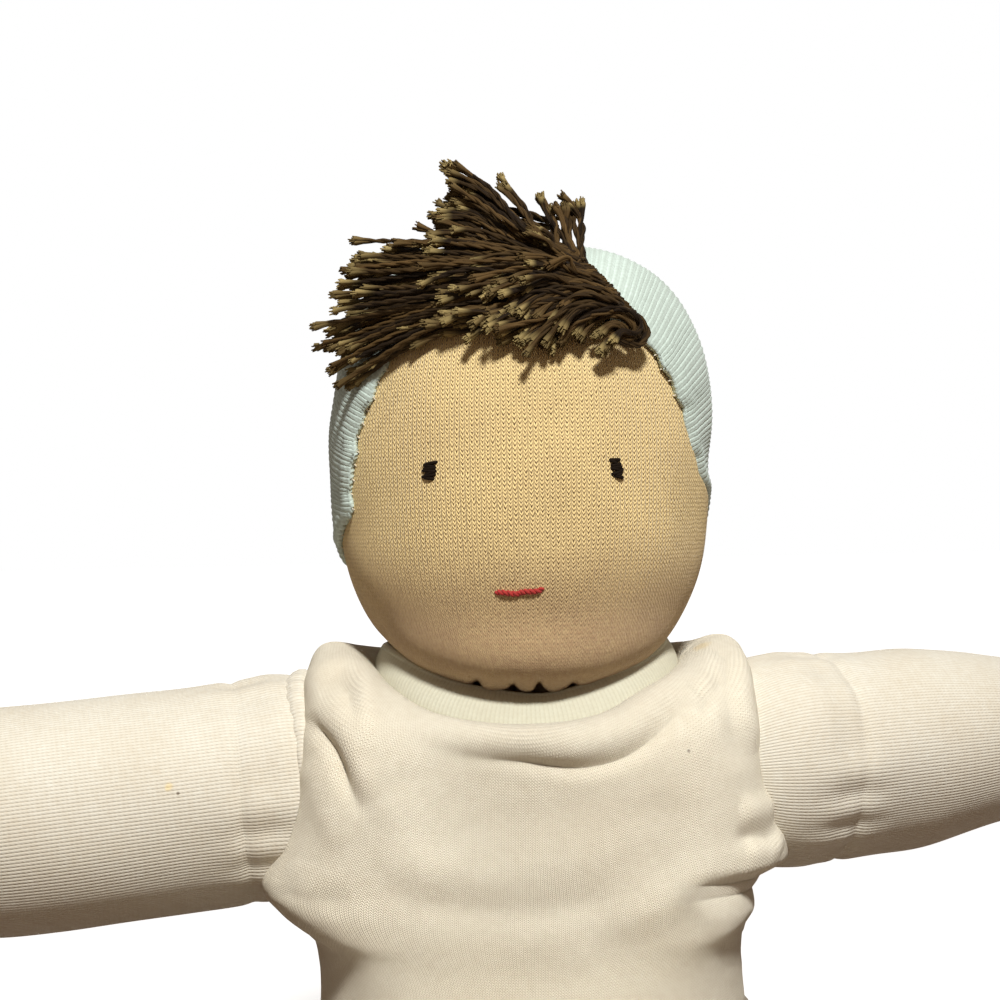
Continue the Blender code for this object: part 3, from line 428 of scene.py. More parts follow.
def spot(wire, place, size):
    """A small round mark at a place, from 0 to 1."""
    here = wire.node("TexCoord", out="Object")
    away = wire.node("VectorMath", {"operation": "DISTANCE"}, {0: here, 1: place}, out=1)
    return (away + mottle(wire, 900, 3) * size * 0.9).step(size * 1.45, size * 0.75)


def stocking(across, along, wale, course, slant=0.95):
    """Rows of V stitches: how high the yarn lies, and how deep the holes between the stitches are."""
    middle = abs(across / wale % 1 - 0.5) * 2
    row = (along / course - middle * slant) % 1
    leg = 1 - (middle * 2 - 1) ** 2
    strand = 1 - (row * 2 - 1) ** 2
    hole = (1 - middle) ** 3 * (1 - strand) + middle ** 4 * 0.32
    return (leg * 0.7 + 0.3) * strand, hole


def torso_grid():
    """The body's points, from the valley round the neck over the shoulders and down to the seat."""
    cosine, sine = np.cos(circle(BODY_COLUMNS)), np.sin(circle(BODY_COLUMNS))

    def row(half_width, front, back, heights, squareness):
        side, ahead, behind = heights
        reach = (abs(cosine) ** squareness + abs(sine) ** squareness) ** (-1 / squareness)
        depth = np.where(sine > 0, back, front)
        height = side + (np.where(sine > 0, behind, ahead) - side) * abs(sine) ** SHOULDER_ROLL_POWER
        return np.stack([half_width * reach * cosine, depth * reach * sine, height * SHOULDER_HEIGHT], -1)

    neck_half, depth_half = NECK_OPENING[0] / 2, TORSO_DEPTH / 2
    neckline = row(neck_half, NECK_OPENING[1] / 2, NECK_OPENING[1] / 2, NECKLINE_HEIGHT_SHARES, 2.0)
    floor_height = neckline[0, 2] - NECK_VALLEY_DEPTH
    valley = []
    for reach_share, drop_share in NECK_VALLEY_SHARES:
        ring = neckline * (reach_share, reach_share, 1)
        ring[:, 2] += (floor_height - ring[:, 2]) * drop_share
        valley.append(ring)
    rows = valley + [neckline]
    for out, front, back, side, ahead, behind, squareness in TORSO_ROW_SHARES:
        half_width = neck_half + (TORSO_WIDTH / 2 - neck_half) * out
        rows.append(row(half_width, front * depth_half, back * depth_half, (side, ahead, behind), squareness))
    rows.append(rows[-1] * (0.02, 0.02, 0))
    return smoothed(rows, BODY_ROWS)


hip = joints["leg_left_fold"]["pos_m"]
LEG_BALL, LEG_WAIST, LEG_ROOM = 0.0168, 0.0145, 0.0014
lap_top = hip[2] + LEG_WAIST * 1.02 + LEG_ROOM
crease_radius = LEG_BALL + LEG_ROOM


def tuck_lap(points):
    """Draw the belly's lower front in over the thighs and back round the hips."""
    corner_y, corner_z = hip[1] + crease_radius + 0.0010, hip[2] + crease_radius + 0.0010
    ahead, below = corner_y - points[..., 1], corner_z - points[..., 2]
    under = (ahead > 0) & (below > 0)
    front = ahead[under].max()
    turn = np.linspace(0.15, math.pi / 2, 12)
    edge_y = np.concatenate([[corner_y - front, corner_y - front, hip[1] - 0.004],
                             hip[1] + crease_radius * np.sin(turn), [corner_y - 0.0012, corner_y]])
    edge_z = np.concatenate([[corner_z, lap_top + 0.0006, lap_top + 0.0006],
                             hip[2] + crease_radius * np.cos(turn), [hip[2] - 0.004, 0]])
    stops = np.arctan2(corner_z - edge_z, corner_y - edge_y)
    angle = np.arctan2(below, ahead)
    reach = np.interp(angle, stops, np.hypot(corner_y - edge_y, corner_z - edge_z))
    straight = np.minimum(front / np.maximum(np.cos(angle), 1e-6), corner_z / np.maximum(np.sin(angle), 1e-6))
    share = np.where(under, reach / straight, 1)
    points[..., 1] = corner_y - ahead * share
    points[..., 2] = corner_z - below * share


def make_body():
    """The jersey body, folded and cut, as a mesh object still in one piece."""
    points = torso_grid()
    normals = -grid_normals(points)
    across, up = points[..., 0] * 1000, points[..., 2] * 1000
    lift = folded(across, up, CHEST_FOLDS) * (points[..., 1] < 0) * rise(-points[..., 1], 0, 0.010)
    lift += 0.30 * lumps(points, 0.034, 3) + 0.13 * lumps(points, 0.013, 4) + 0.05 * lumps(points, 0.005, 5)
    lean = math.atan2(SIDE_SEAM_LEAN, SHOULDER_HEIGHT)
    seam = points[..., 1] * math.cos(lean) - (points[..., 2] - SHOULDER_HEIGHT) * math.sin(lean)
    lift -= 0.55 * bell(seam, 0.0009) * (abs(across) > 25)
    points += normals * (lift * rise(up, 2.0, 12.0) / 1000)[..., None]
    tuck = np.where(across > 0, *[np.interp(up, ARMPIT_LEVELS, tucks) for tucks in (LEFT_TUCKS, RIGHT_TUCKS)])
    points[..., 0] -= np.sign(across) * tuck / 1000 * rise(abs(across), 20, 37)
    points[..., 2] = np.maximum(points[..., 2], 0)
    tuck_lap(points)
    steps = np.linalg.norm(np.diff(points, axis=0), axis=-1).mean(1) * 1000
    flat = flat_knit(BODY_COLUMNS, 250.0, np.concatenate([[0], np.cumsum(steps)]))
    return knit_mesh("body", points, flat, jersey), points


def wool_finish():
    """Carded sheep's wool: matted fibres, cream, with the hollows of its relief painted darker as painted
    shade.
    """
    finish, wire = new_finish("wool_stuffing", 0.95, 0.3)
    place = wire.node("TexCoord", out="Object")
    fibre = wire.node("TexNoise", {}, {"Vector": place, "Scale": 500, "Detail": 6, "Distortion": 2.5})
    # The same noise gives the relief and the colour, so its hollows are painted darker towards WOOL_SHADE:
    # painted shade.
    dress(finish, mixed(fibre, WOOL_SHADE, WOOL_COLOUR), fibre, 0.0006)
    return finish


def stuff(name, cover, inset, node, body):
    """A firm, lumpy mass of wool inside a cover's grid of points, closed at both its ends."""
    points = np.concatenate([cover[:-1:3, ::4], cover[-1:, ::4]])
    out = grid_normals(points)
    out = out * np.sign(np.sum(out * (points - points.mean((0, 1)))))
    points = points - out * (inset + 0.0002 * lumps(points, 0.009, 61))[..., None]
    caps = [np.broadcast_to(points[row].mean(0), points[:1].shape) for row in (0, -1)]
    points = np.concatenate([caps[0], points, caps[1]])
    core = knit_mesh(name, points, flat_knit(points.shape[1], 100.0, np.arange(len(points))), wool)
    settle(core, body, node)


def jersey_finish(name, light, dark, wale, course, relief):
    """Fine cotton jersey: rows of V stitches with painted shade in the holes and dips between them, a little
    soiled and uneven.
    """
    finish, wire = new_finish(name)
    across, along = flat_place(wire)
    high, hole = stocking(across, along, wale, course)
    shade = mixed(mottle(wire, 45, 4) * 0.8 + mottle(wire, 800) * 0.4 - 0.36, light, dark)
    # The holes between the stitches and the low parts of each stitch are painted darker, towards JERSEY_SHADE:
    # painted shade in the knit's recesses.
    colour = mixed(hole * 0.80 + (1 - high) * 0.14, shade, dark)
    colour = mixed(spot(wire, SHOULDER_STAIN, 0.0022) * 0.5, colour, STAIN_COLOUR)
    colour = mixed(spot(wire, JERSEY_SPOT, 0.0004) * 0.6, colour, SPOT_COLOUR)
    dress(finish, colour, high - hole + mottle(wire, 1600, 3) * 0.7, relief)
    return finish


jersey = jersey_finish("cotton_jersey", JERSEY_COLOUR, JERSEY_SHADE, JERSEY_WALE, JERSEY_COURSE, 0.00010)
arm_centres = {side: np.array(joints[f"shoulder_{side}_swing"]["pos_m"]) for side in ARM_BALLS}


def cut_armholes(item):
    """Open the body where the arms' round tops stand in it, and give the rims."""
    mesh = bmesh.new()
    mesh.from_mesh(item.data)
    rims = {}
    for side, centre in arm_centres.items():
        centre, radius = Vector(centre), ARM_BALLS[side] + 0.0005
        inside = {vert for vert in mesh.verts if (vert.co - centre).length < radius}
        sunk = [face for face in mesh.faces if all(vert in inside for vert in face.verts)]
        bmesh.ops.delete(mesh, geom=sunk, context="FACES")
        edge = [vert for vert in mesh.verts if vert.is_valid and vert.is_boundary
                and (vert.co - centre).length < radius + 0.001]
        for vert in mesh.verts:
            if (vert.co - centre).length < radius:
                vert.co = centre + (vert.co - centre).normalized() * radius
        edge.sort(key=lambda vert: math.atan2(vert.co.z - centre.z, vert.co.y - centre.y))
        rims[side] = np.array([vert.co for vert in edge])
    mesh.to_mesh(item.data)
    mesh.free()
    return rims


wool = wool_finish()
body, body_points = make_body()
armhole_rims = cut_armholes(body)
neck_well = body_points[:1] - (0, 0, WELL_DEPTH)
core_points = np.concatenate([neck_well, body_points])
for side, centre in arm_centres.items():
    sign, radius = np.sign(centre[0]), ARM_BALLS[side] + 0.0020
    room = radius ** 2 - (core_points[..., 1] - centre[1]) ** 2 - (core_points[..., 2] - centre[2]) ** 2
    hollow = centre[0] - sign * np.sqrt(np.maximum(room, 0))
    inside = (room > 0) & (core_points[..., 0] * sign > hollow * sign)
    core_points[..., 0] = np.where(inside, hollow, core_points[..., 0])
stuff("torso_wool", core_points, JERSEY_THICKNESS + 0.0006, "torso_core", "torso")


def make_panel(name, front, node):
    """Cut one panel of the body along the side seams, and give it the cloth's thickness."""
    mesh = bmesh.new()
    mesh.from_mesh(body.data)
    lean = math.atan2(SIDE_SEAM_LEAN, SHOULDER_HEIGHT)
    normal = Vector((0, math.cos(lean), -math.sin(lean)))
    bmesh.ops.bisect_plane(mesh, geom=mesh.verts[:] + mesh.edges[:] + mesh.faces[:], plane_no=normal,
                           plane_co=(0, 0, SHOULDER_HEIGHT), clear_outer=front, clear_inner=not front)
    data = bpy.data.meshes.new(name)
    mesh.to_mesh(data)
    mesh.free()
    data.materials.append(jersey)
    panel = place_object(name, data)
    add_cloth(panel, JERSEY_THICKNESS)
    settle(panel, "torso", node)


make_panel("front_jersey", True, "front_panel")
make_panel("back_jersey", False, "back_panel")
bpy.data.objects.remove(body)

# The armhole seams, where the jersey is turned in and whip-stitched over the top of each sleeve.
# The seam is a soft roll, ribbed on the doll's right shoulder and double on its left one.
SEAM_ROLL_RADIUS = 0.0011
SEAM_SHIFTS = {"left": (0.0007, -0.0004), "right": (0.0007, 0.0026)}
SEAM_FULLNESS = {"left": 0.75, "right": 1.9}
RIB_COLOUR = (0.740, 0.720, 0.640, 1)
RIB_SHADE = (0.500, 0.405, 0.270, 1)


def rib_finish(name, light, dark, pitch, relief, turned=0):
    """Rib knit: raised wales of small stitches with sunk wales between, which are painted darker as painted
    shade, turned across where asked.
    """
    finish, wire = new_finish(name)
    across, along = flat_place(wire)
    if turned:
        across, along = along * turned, across * 9
    wale = abs(across / pitch % 1 - 0.5) * 2
    ridge = 1 - wale ** 2
    stitch = 1 - abs((along / (pitch * 0.8) + wale * 0.6) % 1 - 0.5) * 2
    shade = mixed(mottle(wire, 65, 4) * 0.6 + mottle(wire, 900) * 0.45 - 0.28, light, dark)
    # The sunk wales and the gaps between the stitches are painted darker, towards the shade colour: painted
    # shade in the rib's recesses.
    colour = mixed((1 - ridge) ** 2 * 0.42 + (1 - stitch) * 0.14, shade, dark)
    colour = mixed(spot(wire, SLEEVE_STAIN, 0.0010) * 0.6, colour, STAIN_COLOUR)
    colour = mixed(spot(wire, SLEEVE_SPOT, 0.0004) * 0.8, colour, SPOT_COLOUR)
    dress(finish, colour, ridge + stitch * 0.3 + mottle(wire, 1800, 2) * 0.6, relief)
    return finish


def frames(paths, away):
    """The two directions across each path, the first of them near a direction away."""
    ahead = unit(np.gradient(paths, axis=-2))
    out = unit(away - ahead * np.sum(ahead * away, -1, keepdims=True))
    return out, np.cross(ahead, out)


def tubes(name, paths, radii, finish, away, sides=6, closed=False, numbers=None, start=0.0):
    """Draw a bundle of round threads along paths in one mesh. Its knit place is the thread's number, with
    the share round it, and the way along it from a start."""
    count, rings = paths.shape[:2]
    out, side = [axis[:, :, None] for axis in frames(paths, away)]
    turn = circle(sides)[:, None]
    radii = np.broadcast_to(radii, (count, rings))[:, :, None, None]
    points = paths[:, :, None] + radii * (out * np.cos(turn) + side * np.sin(turn))
    thread, ring, corner = np.mgrid[0:count, 0:rings - (0 if closed else 1), 0:sides]
    corners = [(ring, corner), (ring, corner + 1), (ring + 1, corner + 1), (ring + 1, corner)]
    faces = np.stack([(thread * rings + ring % rings) * sides + corner % sides
                      for ring, corner in corners], -1)
    numbers = np.arange(count) if numbers is None else numbers
    round_it = np.stack([corner for _, corner in corners], -1) / sides
    way = np.stack([ring for ring, _ in corners], -1) / (rings - 1) + start
    places = np.stack([numbers[thread][..., None] + round_it * 0.98 + 0.01, way], -1)
    return soft_mesh(name, points, faces, places, finish)


def make_armhole_seam(side, rim):
    """The soft roll of turned-in jersey round one armhole."""
    sign = 1 if side == "left" else -1
    path = evened(rim, 360)
    for _ in range(6):
        path = (np.roll(path, 1, 0) + path * 2 + np.roll(path, -1, 0)) / 4
    turn = np.arctan2(path[:, 2] - arm_centres[side][2], path[:, 1])
    front = (turn + math.pi / 2) % math.tau - math.pi / 2
    top = bell(front - 1.75, 1.05)
    path[:, 0] -= sign * SEAM_SHIFTS[side][0] - sign * SEAM_SHIFTS[side][1] * top
    radius = SEAM_ROLL_RADIUS * (0.5 + SEAM_FULLNESS[side] * top) + 0.00012 * np.sin(path[:, 1] * 2600)
    finish, slot = jersey, "white_jersey"
    if side == "right":
        finish, slot = rib_finish("armhole_rib", RIB_COLOUR, RIB_SHADE, 1.0, 0.00008, 190), "cream_rib_knit"
    seam = tubes(f"armhole_seam_{side}", path[None], radius[None], finish, np.array([sign, 0, 0]), 14, True)
    settle(seam, "torso")


for side, rim in armhole_rims.items():
    make_armhole_seam(side, rim)

# The neckband, a strip of cream rib folded double and sewn to the neckline. It leans in under the
# chin, with a soft round rim.
BAND_HEIGHT, BAND_THICKNESS = 0.0058, 0.0018
BAND_LEAN_SIDE, BAND_LEAN_FRONT = 0.0014, 0.0053
BAND_RIBS = 210
BAND_COLOUR = (0.610, 0.600, 0.480, 1)
BAND_SHADE = (0.440, 0.400, 0.290, 1)


def make_neckband():
    """The folded band: its outer wall, its round rim and its inner wall."""
    columns = BAND_RIBS * 4
    angle = circle(columns)
    side, front, back = NECKLINE_HEIGHT_SHARES
    ends = np.where(np.sin(angle) > 0, back, front)
    base = (side + (ends - side) * abs(np.sin(angle)) ** SHOULDER_ROLL_POWER) * SHOULDER_HEIGHT
    front = np.clip(-np.sin(angle), 0, 1) ** 1.5
    lean = BAND_LEAN_SIDE + (BAND_LEAN_FRONT - BAND_LEAN_SIDE) * front + 0.0003 * np.sin(angle * 3 + 1)
    share = np.concatenate([np.linspace(-0.06, 1, 22), np.ones(9), np.linspace(1, 0.1, 14)])[:, None]
    over = np.concatenate([np.zeros(22), np.linspace(0, math.pi, 9), np.full(14, math.pi)])[:, None]
    slope_in, slope_up = -lean * 1.4 * np.clip(share, 0, 1) ** 0.4, BAND_HEIGHT
    size = np.hypot(slope_in, slope_up)
    out = -lean * np.clip(share, 0, 1) ** 1.4 + 0.0005 * np.sin(math.pi * np.clip(share, 0, 1))
    up = BAND_HEIGHT * share + 0.0002 * np.sin(angle * 7 + 2) * share
    half = BAND_THICKNESS / 2 * rise(share, -0.1, 0.25)
    ribs = 0.00003 * np.cos(angle * BAND_RIBS) * rise(share, 0.0, 0.15)
    out = out + (half + ribs) * (np.cos(over) * slope_up + np.sin(over) * slope_in) / size
    up = up + half * (np.sin(over) * slope_up - np.cos(over) * slope_in) / size
    points = joined((NECK_OPENING[0] / 2 + out) * np.cos(angle), (NECK_OPENING[1] / 2 + out) * np.sin(angle),
                    base - 0.0002 + up)
    around = math.pi * sum(NECK_OPENING) / 2 * 1000
    along = np.linspace(0, BAND_HEIGHT * 2200, len(share))
    band_rib = rib_finish("cream_rib", BAND_COLOUR, BAND_SHADE, around / BAND_RIBS, 0.00003)
    band = knit_mesh("neckband_rib", points, flat_knit(columns, around, along), band_rib)
    settle(band, "torso", "neckband")


make_neckband()

# The head, a ball of wound wool under a peach cotton knit that is drawn tight, tied round the neck
# and gathered there into small pleats.
HEAD_WIDTH, HEAD_DEPTH, HEAD_HEIGHT = 0.0640, 0.0622, 0.0745
NECK_RADIUS, NECK_LENGTH = 0.0114, 0.0190
HEAD_PROFILE_SHARES = [
    (0.042, 0.475), (0.093, 0.685), (0.161, 0.832), (0.270, 0.947), (0.400, 0.990), (0.560, 1.000),
    (0.690, 0.972), (0.800, 0.902), (0.885, 0.800), (0.945, 0.645), (0.983, 0.420), (1.000, 0.000),
]
SKIN_COLOUR = (1.000, 0.770, 0.355, 1)
SKIN_SHADE = (0.330, 0.170, 0.070, 1)
# The next colour is painted shade for the lower face and chin.
SKIN_LOW_SHADE = (0.350, 0.225, 0.130, 1)
SKIN_WALES, SKIN_COURSE = 236, 0.70
chin_height = joints["head_turn"]["pos_m"][2]
head_centre = np.array([0.0, 0.0, chin_height + HEAD_HEIGHT / 2])
neck_top = chin_height + HEAD_PROFILE_SHARES[0][0] * HEAD_HEIGHT / 2
head_outline = [(NECK_RADIUS, chin_height - NECK_LENGTH), (NECK_RADIUS, neck_top)]
head_outline += [(radius * HEAD_WIDTH / 2, chin_height + height * HEAD_HEIGHT)
                 for height, radius in HEAD_PROFILE_SHARES]
head_curve = smoothed(head_outline, 400)
head_curve[:, 0] = np.maximum(head_curve[:, 0], 0)

# How far the chin fills out over the neckband, in metres, and where the skin is gathered under it, in
# millimetres from the middle
CHIN_FULLNESS, CHIN_HANG, CHIN_TURN = 0.0060, 0.0019, 0.14
CHIN_PLEATS = [(-8.5, 0.8), (-2.5, 0.7), (1.8, 1.0), (7.4, 0.5)]

# Where the front edge of the cap crosses the head, in millimetres: height and depth
CAP_EDGE = np.array([
    (95, 26), (98, 24), (104, 20), (110, 13), (114, 5), (117, -1), (119, -7), (122, -12.9), (125.4, -14.4),
    (130.2, -15.6), (136.9, -17.8), (143, -19.6), (148.7, -21.2), (150.5, -24.5), (152, -27.5), (154, -32),
    (166, -40),
])
CAP_THICKNESS = 0.0010


def head_ratio(height):
    """How much the head is drawn in from front to back at a height."""
    share = np.clip((height - neck_top) / (HEAD_PROFILE_SHARES[3][0] * HEAD_HEIGHT), 0, 1)
    return 1 + (HEAD_DEPTH / HEAD_WIDTH - 1) * share


def on_head(toward, lift):
    """The points above the head's surface in directions from the head's middle."""
    direction = unit(np.asarray(toward, float))
    near = np.zeros(direction.shape[:-1])
    far = near + HEAD_HEIGHT
    for _ in range(24):
        middle = (near + far) / 2
        point = head_centre + direction * middle[..., None]
        radius = np.interp(point[..., 2], head_curve[:, 1], head_curve[:, 0])
        inside = np.hypot(point[..., 0], point[..., 1] / head_ratio(point[..., 2])) < radius
        near, far = np.where(inside, middle, near), np.where(inside, far, middle)
    return head_centre + direction * (near + lift)[..., None]


def behind_edge(points):
    """How far behind the cap's front edge each point of the head lies. The edge is higher at the left."""
    height = points[..., 2] * 1000
    height = height - 4.5 * rise(points[..., 0], -0.005, 0.005) * rise(137 - height, 0, 10)
    return points[..., 1] - np.interp(height, *CAP_EDGE.T) / 1000


def cap_lift(points):
    """How high the cap's outer face lies over the head, drawn in at the temples."""
    left = rise(points[..., 0], -0.010, 0.010)
    return 0.0001 + left * (0.0006 - 0.0019 * bell(points[..., 2] - 0.1285, 0.0085))


def skin_finish(name, wale, course, relief=0.00016):
    """Peach stocking knit: bright V stitches with pin holes painted dark as painted shade, fuzzier low down and
    painted browner and darker there as painted shade.
    """
    finish, wire = new_finish(name, 0.92, 0.2)
    across, along = flat_place(wire)
    across, along = across + mottle(wire, 420) * 0.55, along + mottle(wire, 510) * 0.75
    high, hole = stocking(across, along, wale, course)
    tall = wire.node("SeparateXYZ", {}, {0: wire.node("TexCoord", out="Object")}, out=2)
    # Towards the chin, and on everything lower down, the colour is drawn browner and darker: painted shade on
    # the lower face.
    low = tall.step(chin_height + 0.031, chin_height + 0.009)
    fuzz = mottle(wire, 1500, 3)
    shade = mixed(mottle(wire, 80, 3) * 0.35 + low * 0.75 + fuzz * 0.25 - 0.24, SKIN_COLOUR, SKIN_LOW_SHADE)
    clear = 1 - low * 0.5
    # The pin holes and the low parts of each stitch are painted dark towards SKIN_SHADE as painted shade,
    # weaker low down; the fuzz darkens it too, more so low down.
    dark = hole * clear * 1.10 + (1 - high) * clear * 0.12 + fuzz * (0.12 + low * 0.5) - 0.06 - low * 0.22
    colour = mixed(dark, shade, SKIN_SHADE)
    dress(finish, colour, (high - hole) * clear + fuzz * 0.8, relief)
    return finish


def make_head():
    """The knit skin over the head and neck."""
    curve = evened(head_curve, 260, closed=False)
    angle = circle(SKIN_WALES * 2)
    radius, height = curve[:, :1], curve[:, 1:]
    points = joined(radius * np.cos(angle), radius * np.sin(angle) * head_ratio(height), height)
    points[-1] = points[-1].mean(0)
    above = (height - chin_height) * 1000
    chin = np.clip(-np.sin(angle - CHIN_TURN), 0, 1) ** 0.6 * bell(above - 5.0, 6.0)
    points[..., 1] -= CHIN_FULLNESS * chin
    points[..., 2] -= CHIN_HANG * chin
    ahead, across = points[..., 1] < 0, points[..., 0] * 1000
    creases = ahead * sum(depth * bell(across - place, 0.75) for place, depth in CHIN_PLEATS)
    creases += ~ahead * (0.5 + 0.5 * np.cos(angle * 22)) ** 6
    puffs = ahead * sum(depth * bell(across - place - 2.4, 1.5) for place, depth in CHIN_PLEATS)
    lift = 0.0005 * puffs * bell(above - 3.2, 1.8) - 0.0013 * creases * bell(above - 2.6, 2.4)
    lift = lift + 0.00016 * lumps(points, 0.018, 11) * rise(above, 3, 10)
    lift = lift + (cap_lift(points) - CAP_THICKNESS - 0.0003) * rise(behind_edge(points), 0.0003, 0.0035)
    points += grid_normals(points) * lift[..., None]
    flat = flat_knit(len(angle), SKIN_WALES, way_along(curve) * 1000)
    skin = knit_mesh("head_skin_knit", points, flat, skin_finish("skin_knit", 1.0, SKIN_COURSE))
    settle(skin, "head", "head_skin")
    stuff("head_wool", points, 0.0024, "head_core", "head")


make_head()

# The cap, a piece of mint rib knit drawn over the back of the head with its ribs running backwards,
# gathered behind and whip-stitched to the skin along its front edge.
CAP_SLOPE = 80.0
CAP_RIBS, CAP_STITCHES = 236, 90
CAP_COLOUR = (0.660, 0.780, 0.720, 1)
CAP_SHADE = (0.300, 0.350, 0.300, 1)


def make_cap():
    """The ribbed cap, whose ribs run from its front edge to the gathered crown."""
    slope = math.radians(CAP_SLOPE)
    pole = np.array([0.0, math.sin(slope), math.cos(slope)])
    side, down = np.array([1, 0, 0]), np.array([0, math.cos(slope), -math.sin(slope)])
    columns, rows = CAP_RIBS * 5, 110
    turn = circle(columns)

    def toward(turn, tilt):
        around = side * np.cos(turn)[..., None] + down * np.sin(turn)[..., None]
        return pole * np.cos(tilt)[..., None] + around * np.sin(tilt)[..., None]

    low, high = np.zeros(columns), np.full(columns, math.pi)
    for _ in range(24):
        middle = (low + high) / 2
        over = behind_edge(on_head(toward(turn, middle), 0.0)) > 0
        low, high = np.where(over, middle, low), np.where(over, high, middle)
    wavy = 0.015 * np.sin(turn * 15 + 2 * np.sin(turn * 4)) + 0.008 * np.sin(turn * 37 + 1)
    share = np.linspace(0, 1, rows)[:, None] ** 0.9
    tilt = (low + wavy * rise(share, 0.85, 1.0)) * share
    swirl = turn + 0.012 * np.sin(turn * 23) * share + 0.05 * np.sin(tilt * 2.5)
    directions = toward(swirl, tilt)
    edge = (1 - share) * low * HEAD_WIDTH / 2 * 1000
    lift = cap_lift(on_head(directions, 0.0))
    lift = lift + 0.0003 * bell(edge - 2.0, 1.4) - 0.0003 * bell(edge, 0.8)
    lift = lift + 0.00013 * np.cos(turn * CAP_RIBS) * rise(tilt, 0.05, 0.5) * (1 - 0.4 * bell(edge, 1.0))
    lift = lift + 0.0006 * np.cos(turn * 24) * bell(tilt - 0.16, 0.14) - 0.0010 * bell(tilt, 0.07)
    points = on_head(directions, lift)
    points += unit(points - head_centre) * (0.00025 * lumps(points, 0.014, 21))[..., None]
    flat = flat_knit(columns, CAP_RIBS, tilt.mean(1) * 33)
    cap = knit_mesh("cap_rib", points, flat, mint_rib)
    add_cloth(cap, CAP_THICKNESS)
    settle(cap, "head", "hair_cap")
    return points[-1]


def floss_finish(name, light, dark, sheen, gloss=0.25):
    """Cotton floss with a soft gloss, streaked along its twist."""
    finish, wire = new_finish(name, 0.7, sheen, gloss)
    streak = mottle(wire, 1800, 2)
    dress(finish, mixed(streak, dark, light), streak, 0.00006)
    return finish


def stitch_cap_edge(edge):
    """Whip stitches of cream thread over the cap's edge into the skin."""
    edge = evened(edge, CAP_STITCHES * 2)[::2]
    ahead = unit(np.roll(edge, -1, 0) - np.roll(edge, 1, 0))
    out = unit(edge - head_centre)
    back = np.cross(ahead, out)
    back *= np.sign(back @ (0, 1, 0.4))[:, None]
    share = np.linspace(0, 1, 12)[None, :, None]
    paths = edge[:, None] + back[:, None] * (share - 0.45) * 0.0010 + ahead[:, None] * (share - 0.5) * 0.0009
    arch = 0.0005 * np.sin(math.pi * share[..., 0]) ** 0.6
    paths = on_head(paths - head_centre, cap_lift(paths) - 0.0002 + arch)
    stitches = tubes("cap_edge_stitches", paths, 0.00012, sewing_thread, out[:, None] + 0 * paths)
    settle(stitches, "head")


mint_rib = rib_finish("mint_rib", CAP_COLOUR, CAP_SHADE, 1.0, 0.00010)
sewing_thread = floss_finish("sewing_thread", (0.80, 0.74, 0.60, 1), (0.55, 0.48, 0.36, 1), 0.1)
stitch_cap_edge(make_cap())

# The hair, a dark brown yarn of two plies in short cut lengths, sewn at one end to a bound strip on
# the cap and swept over the forehead. Its cut ends fray into brushes that are painted paler olive, partly
# as the frayed fibres' own paler colour and partly as painted highlight.
PLY_RADIUS, PLY_REACH, PLY_PITCH = 0.00030, 0.00019, 0.0064
STRIP_LINE = np.array([(0.12, -0.41, 0.905), (0.335, -0.585, 0.74), (0.53, -0.615, 0.585)])
STRIP_RADIUS, STRIP_TURNS = 0.0012, 11
YARN_DARK, YARN_MIDDLE = (0.008, 0.0038, 0.0009, 1), (0.105, 0.061, 0.021, 1)
YARN_OLIVE = (0.36, 0.27, 0.11, 1)
HAIR_FULLNESS = 1.4
BRUSH_FIBRES = 24

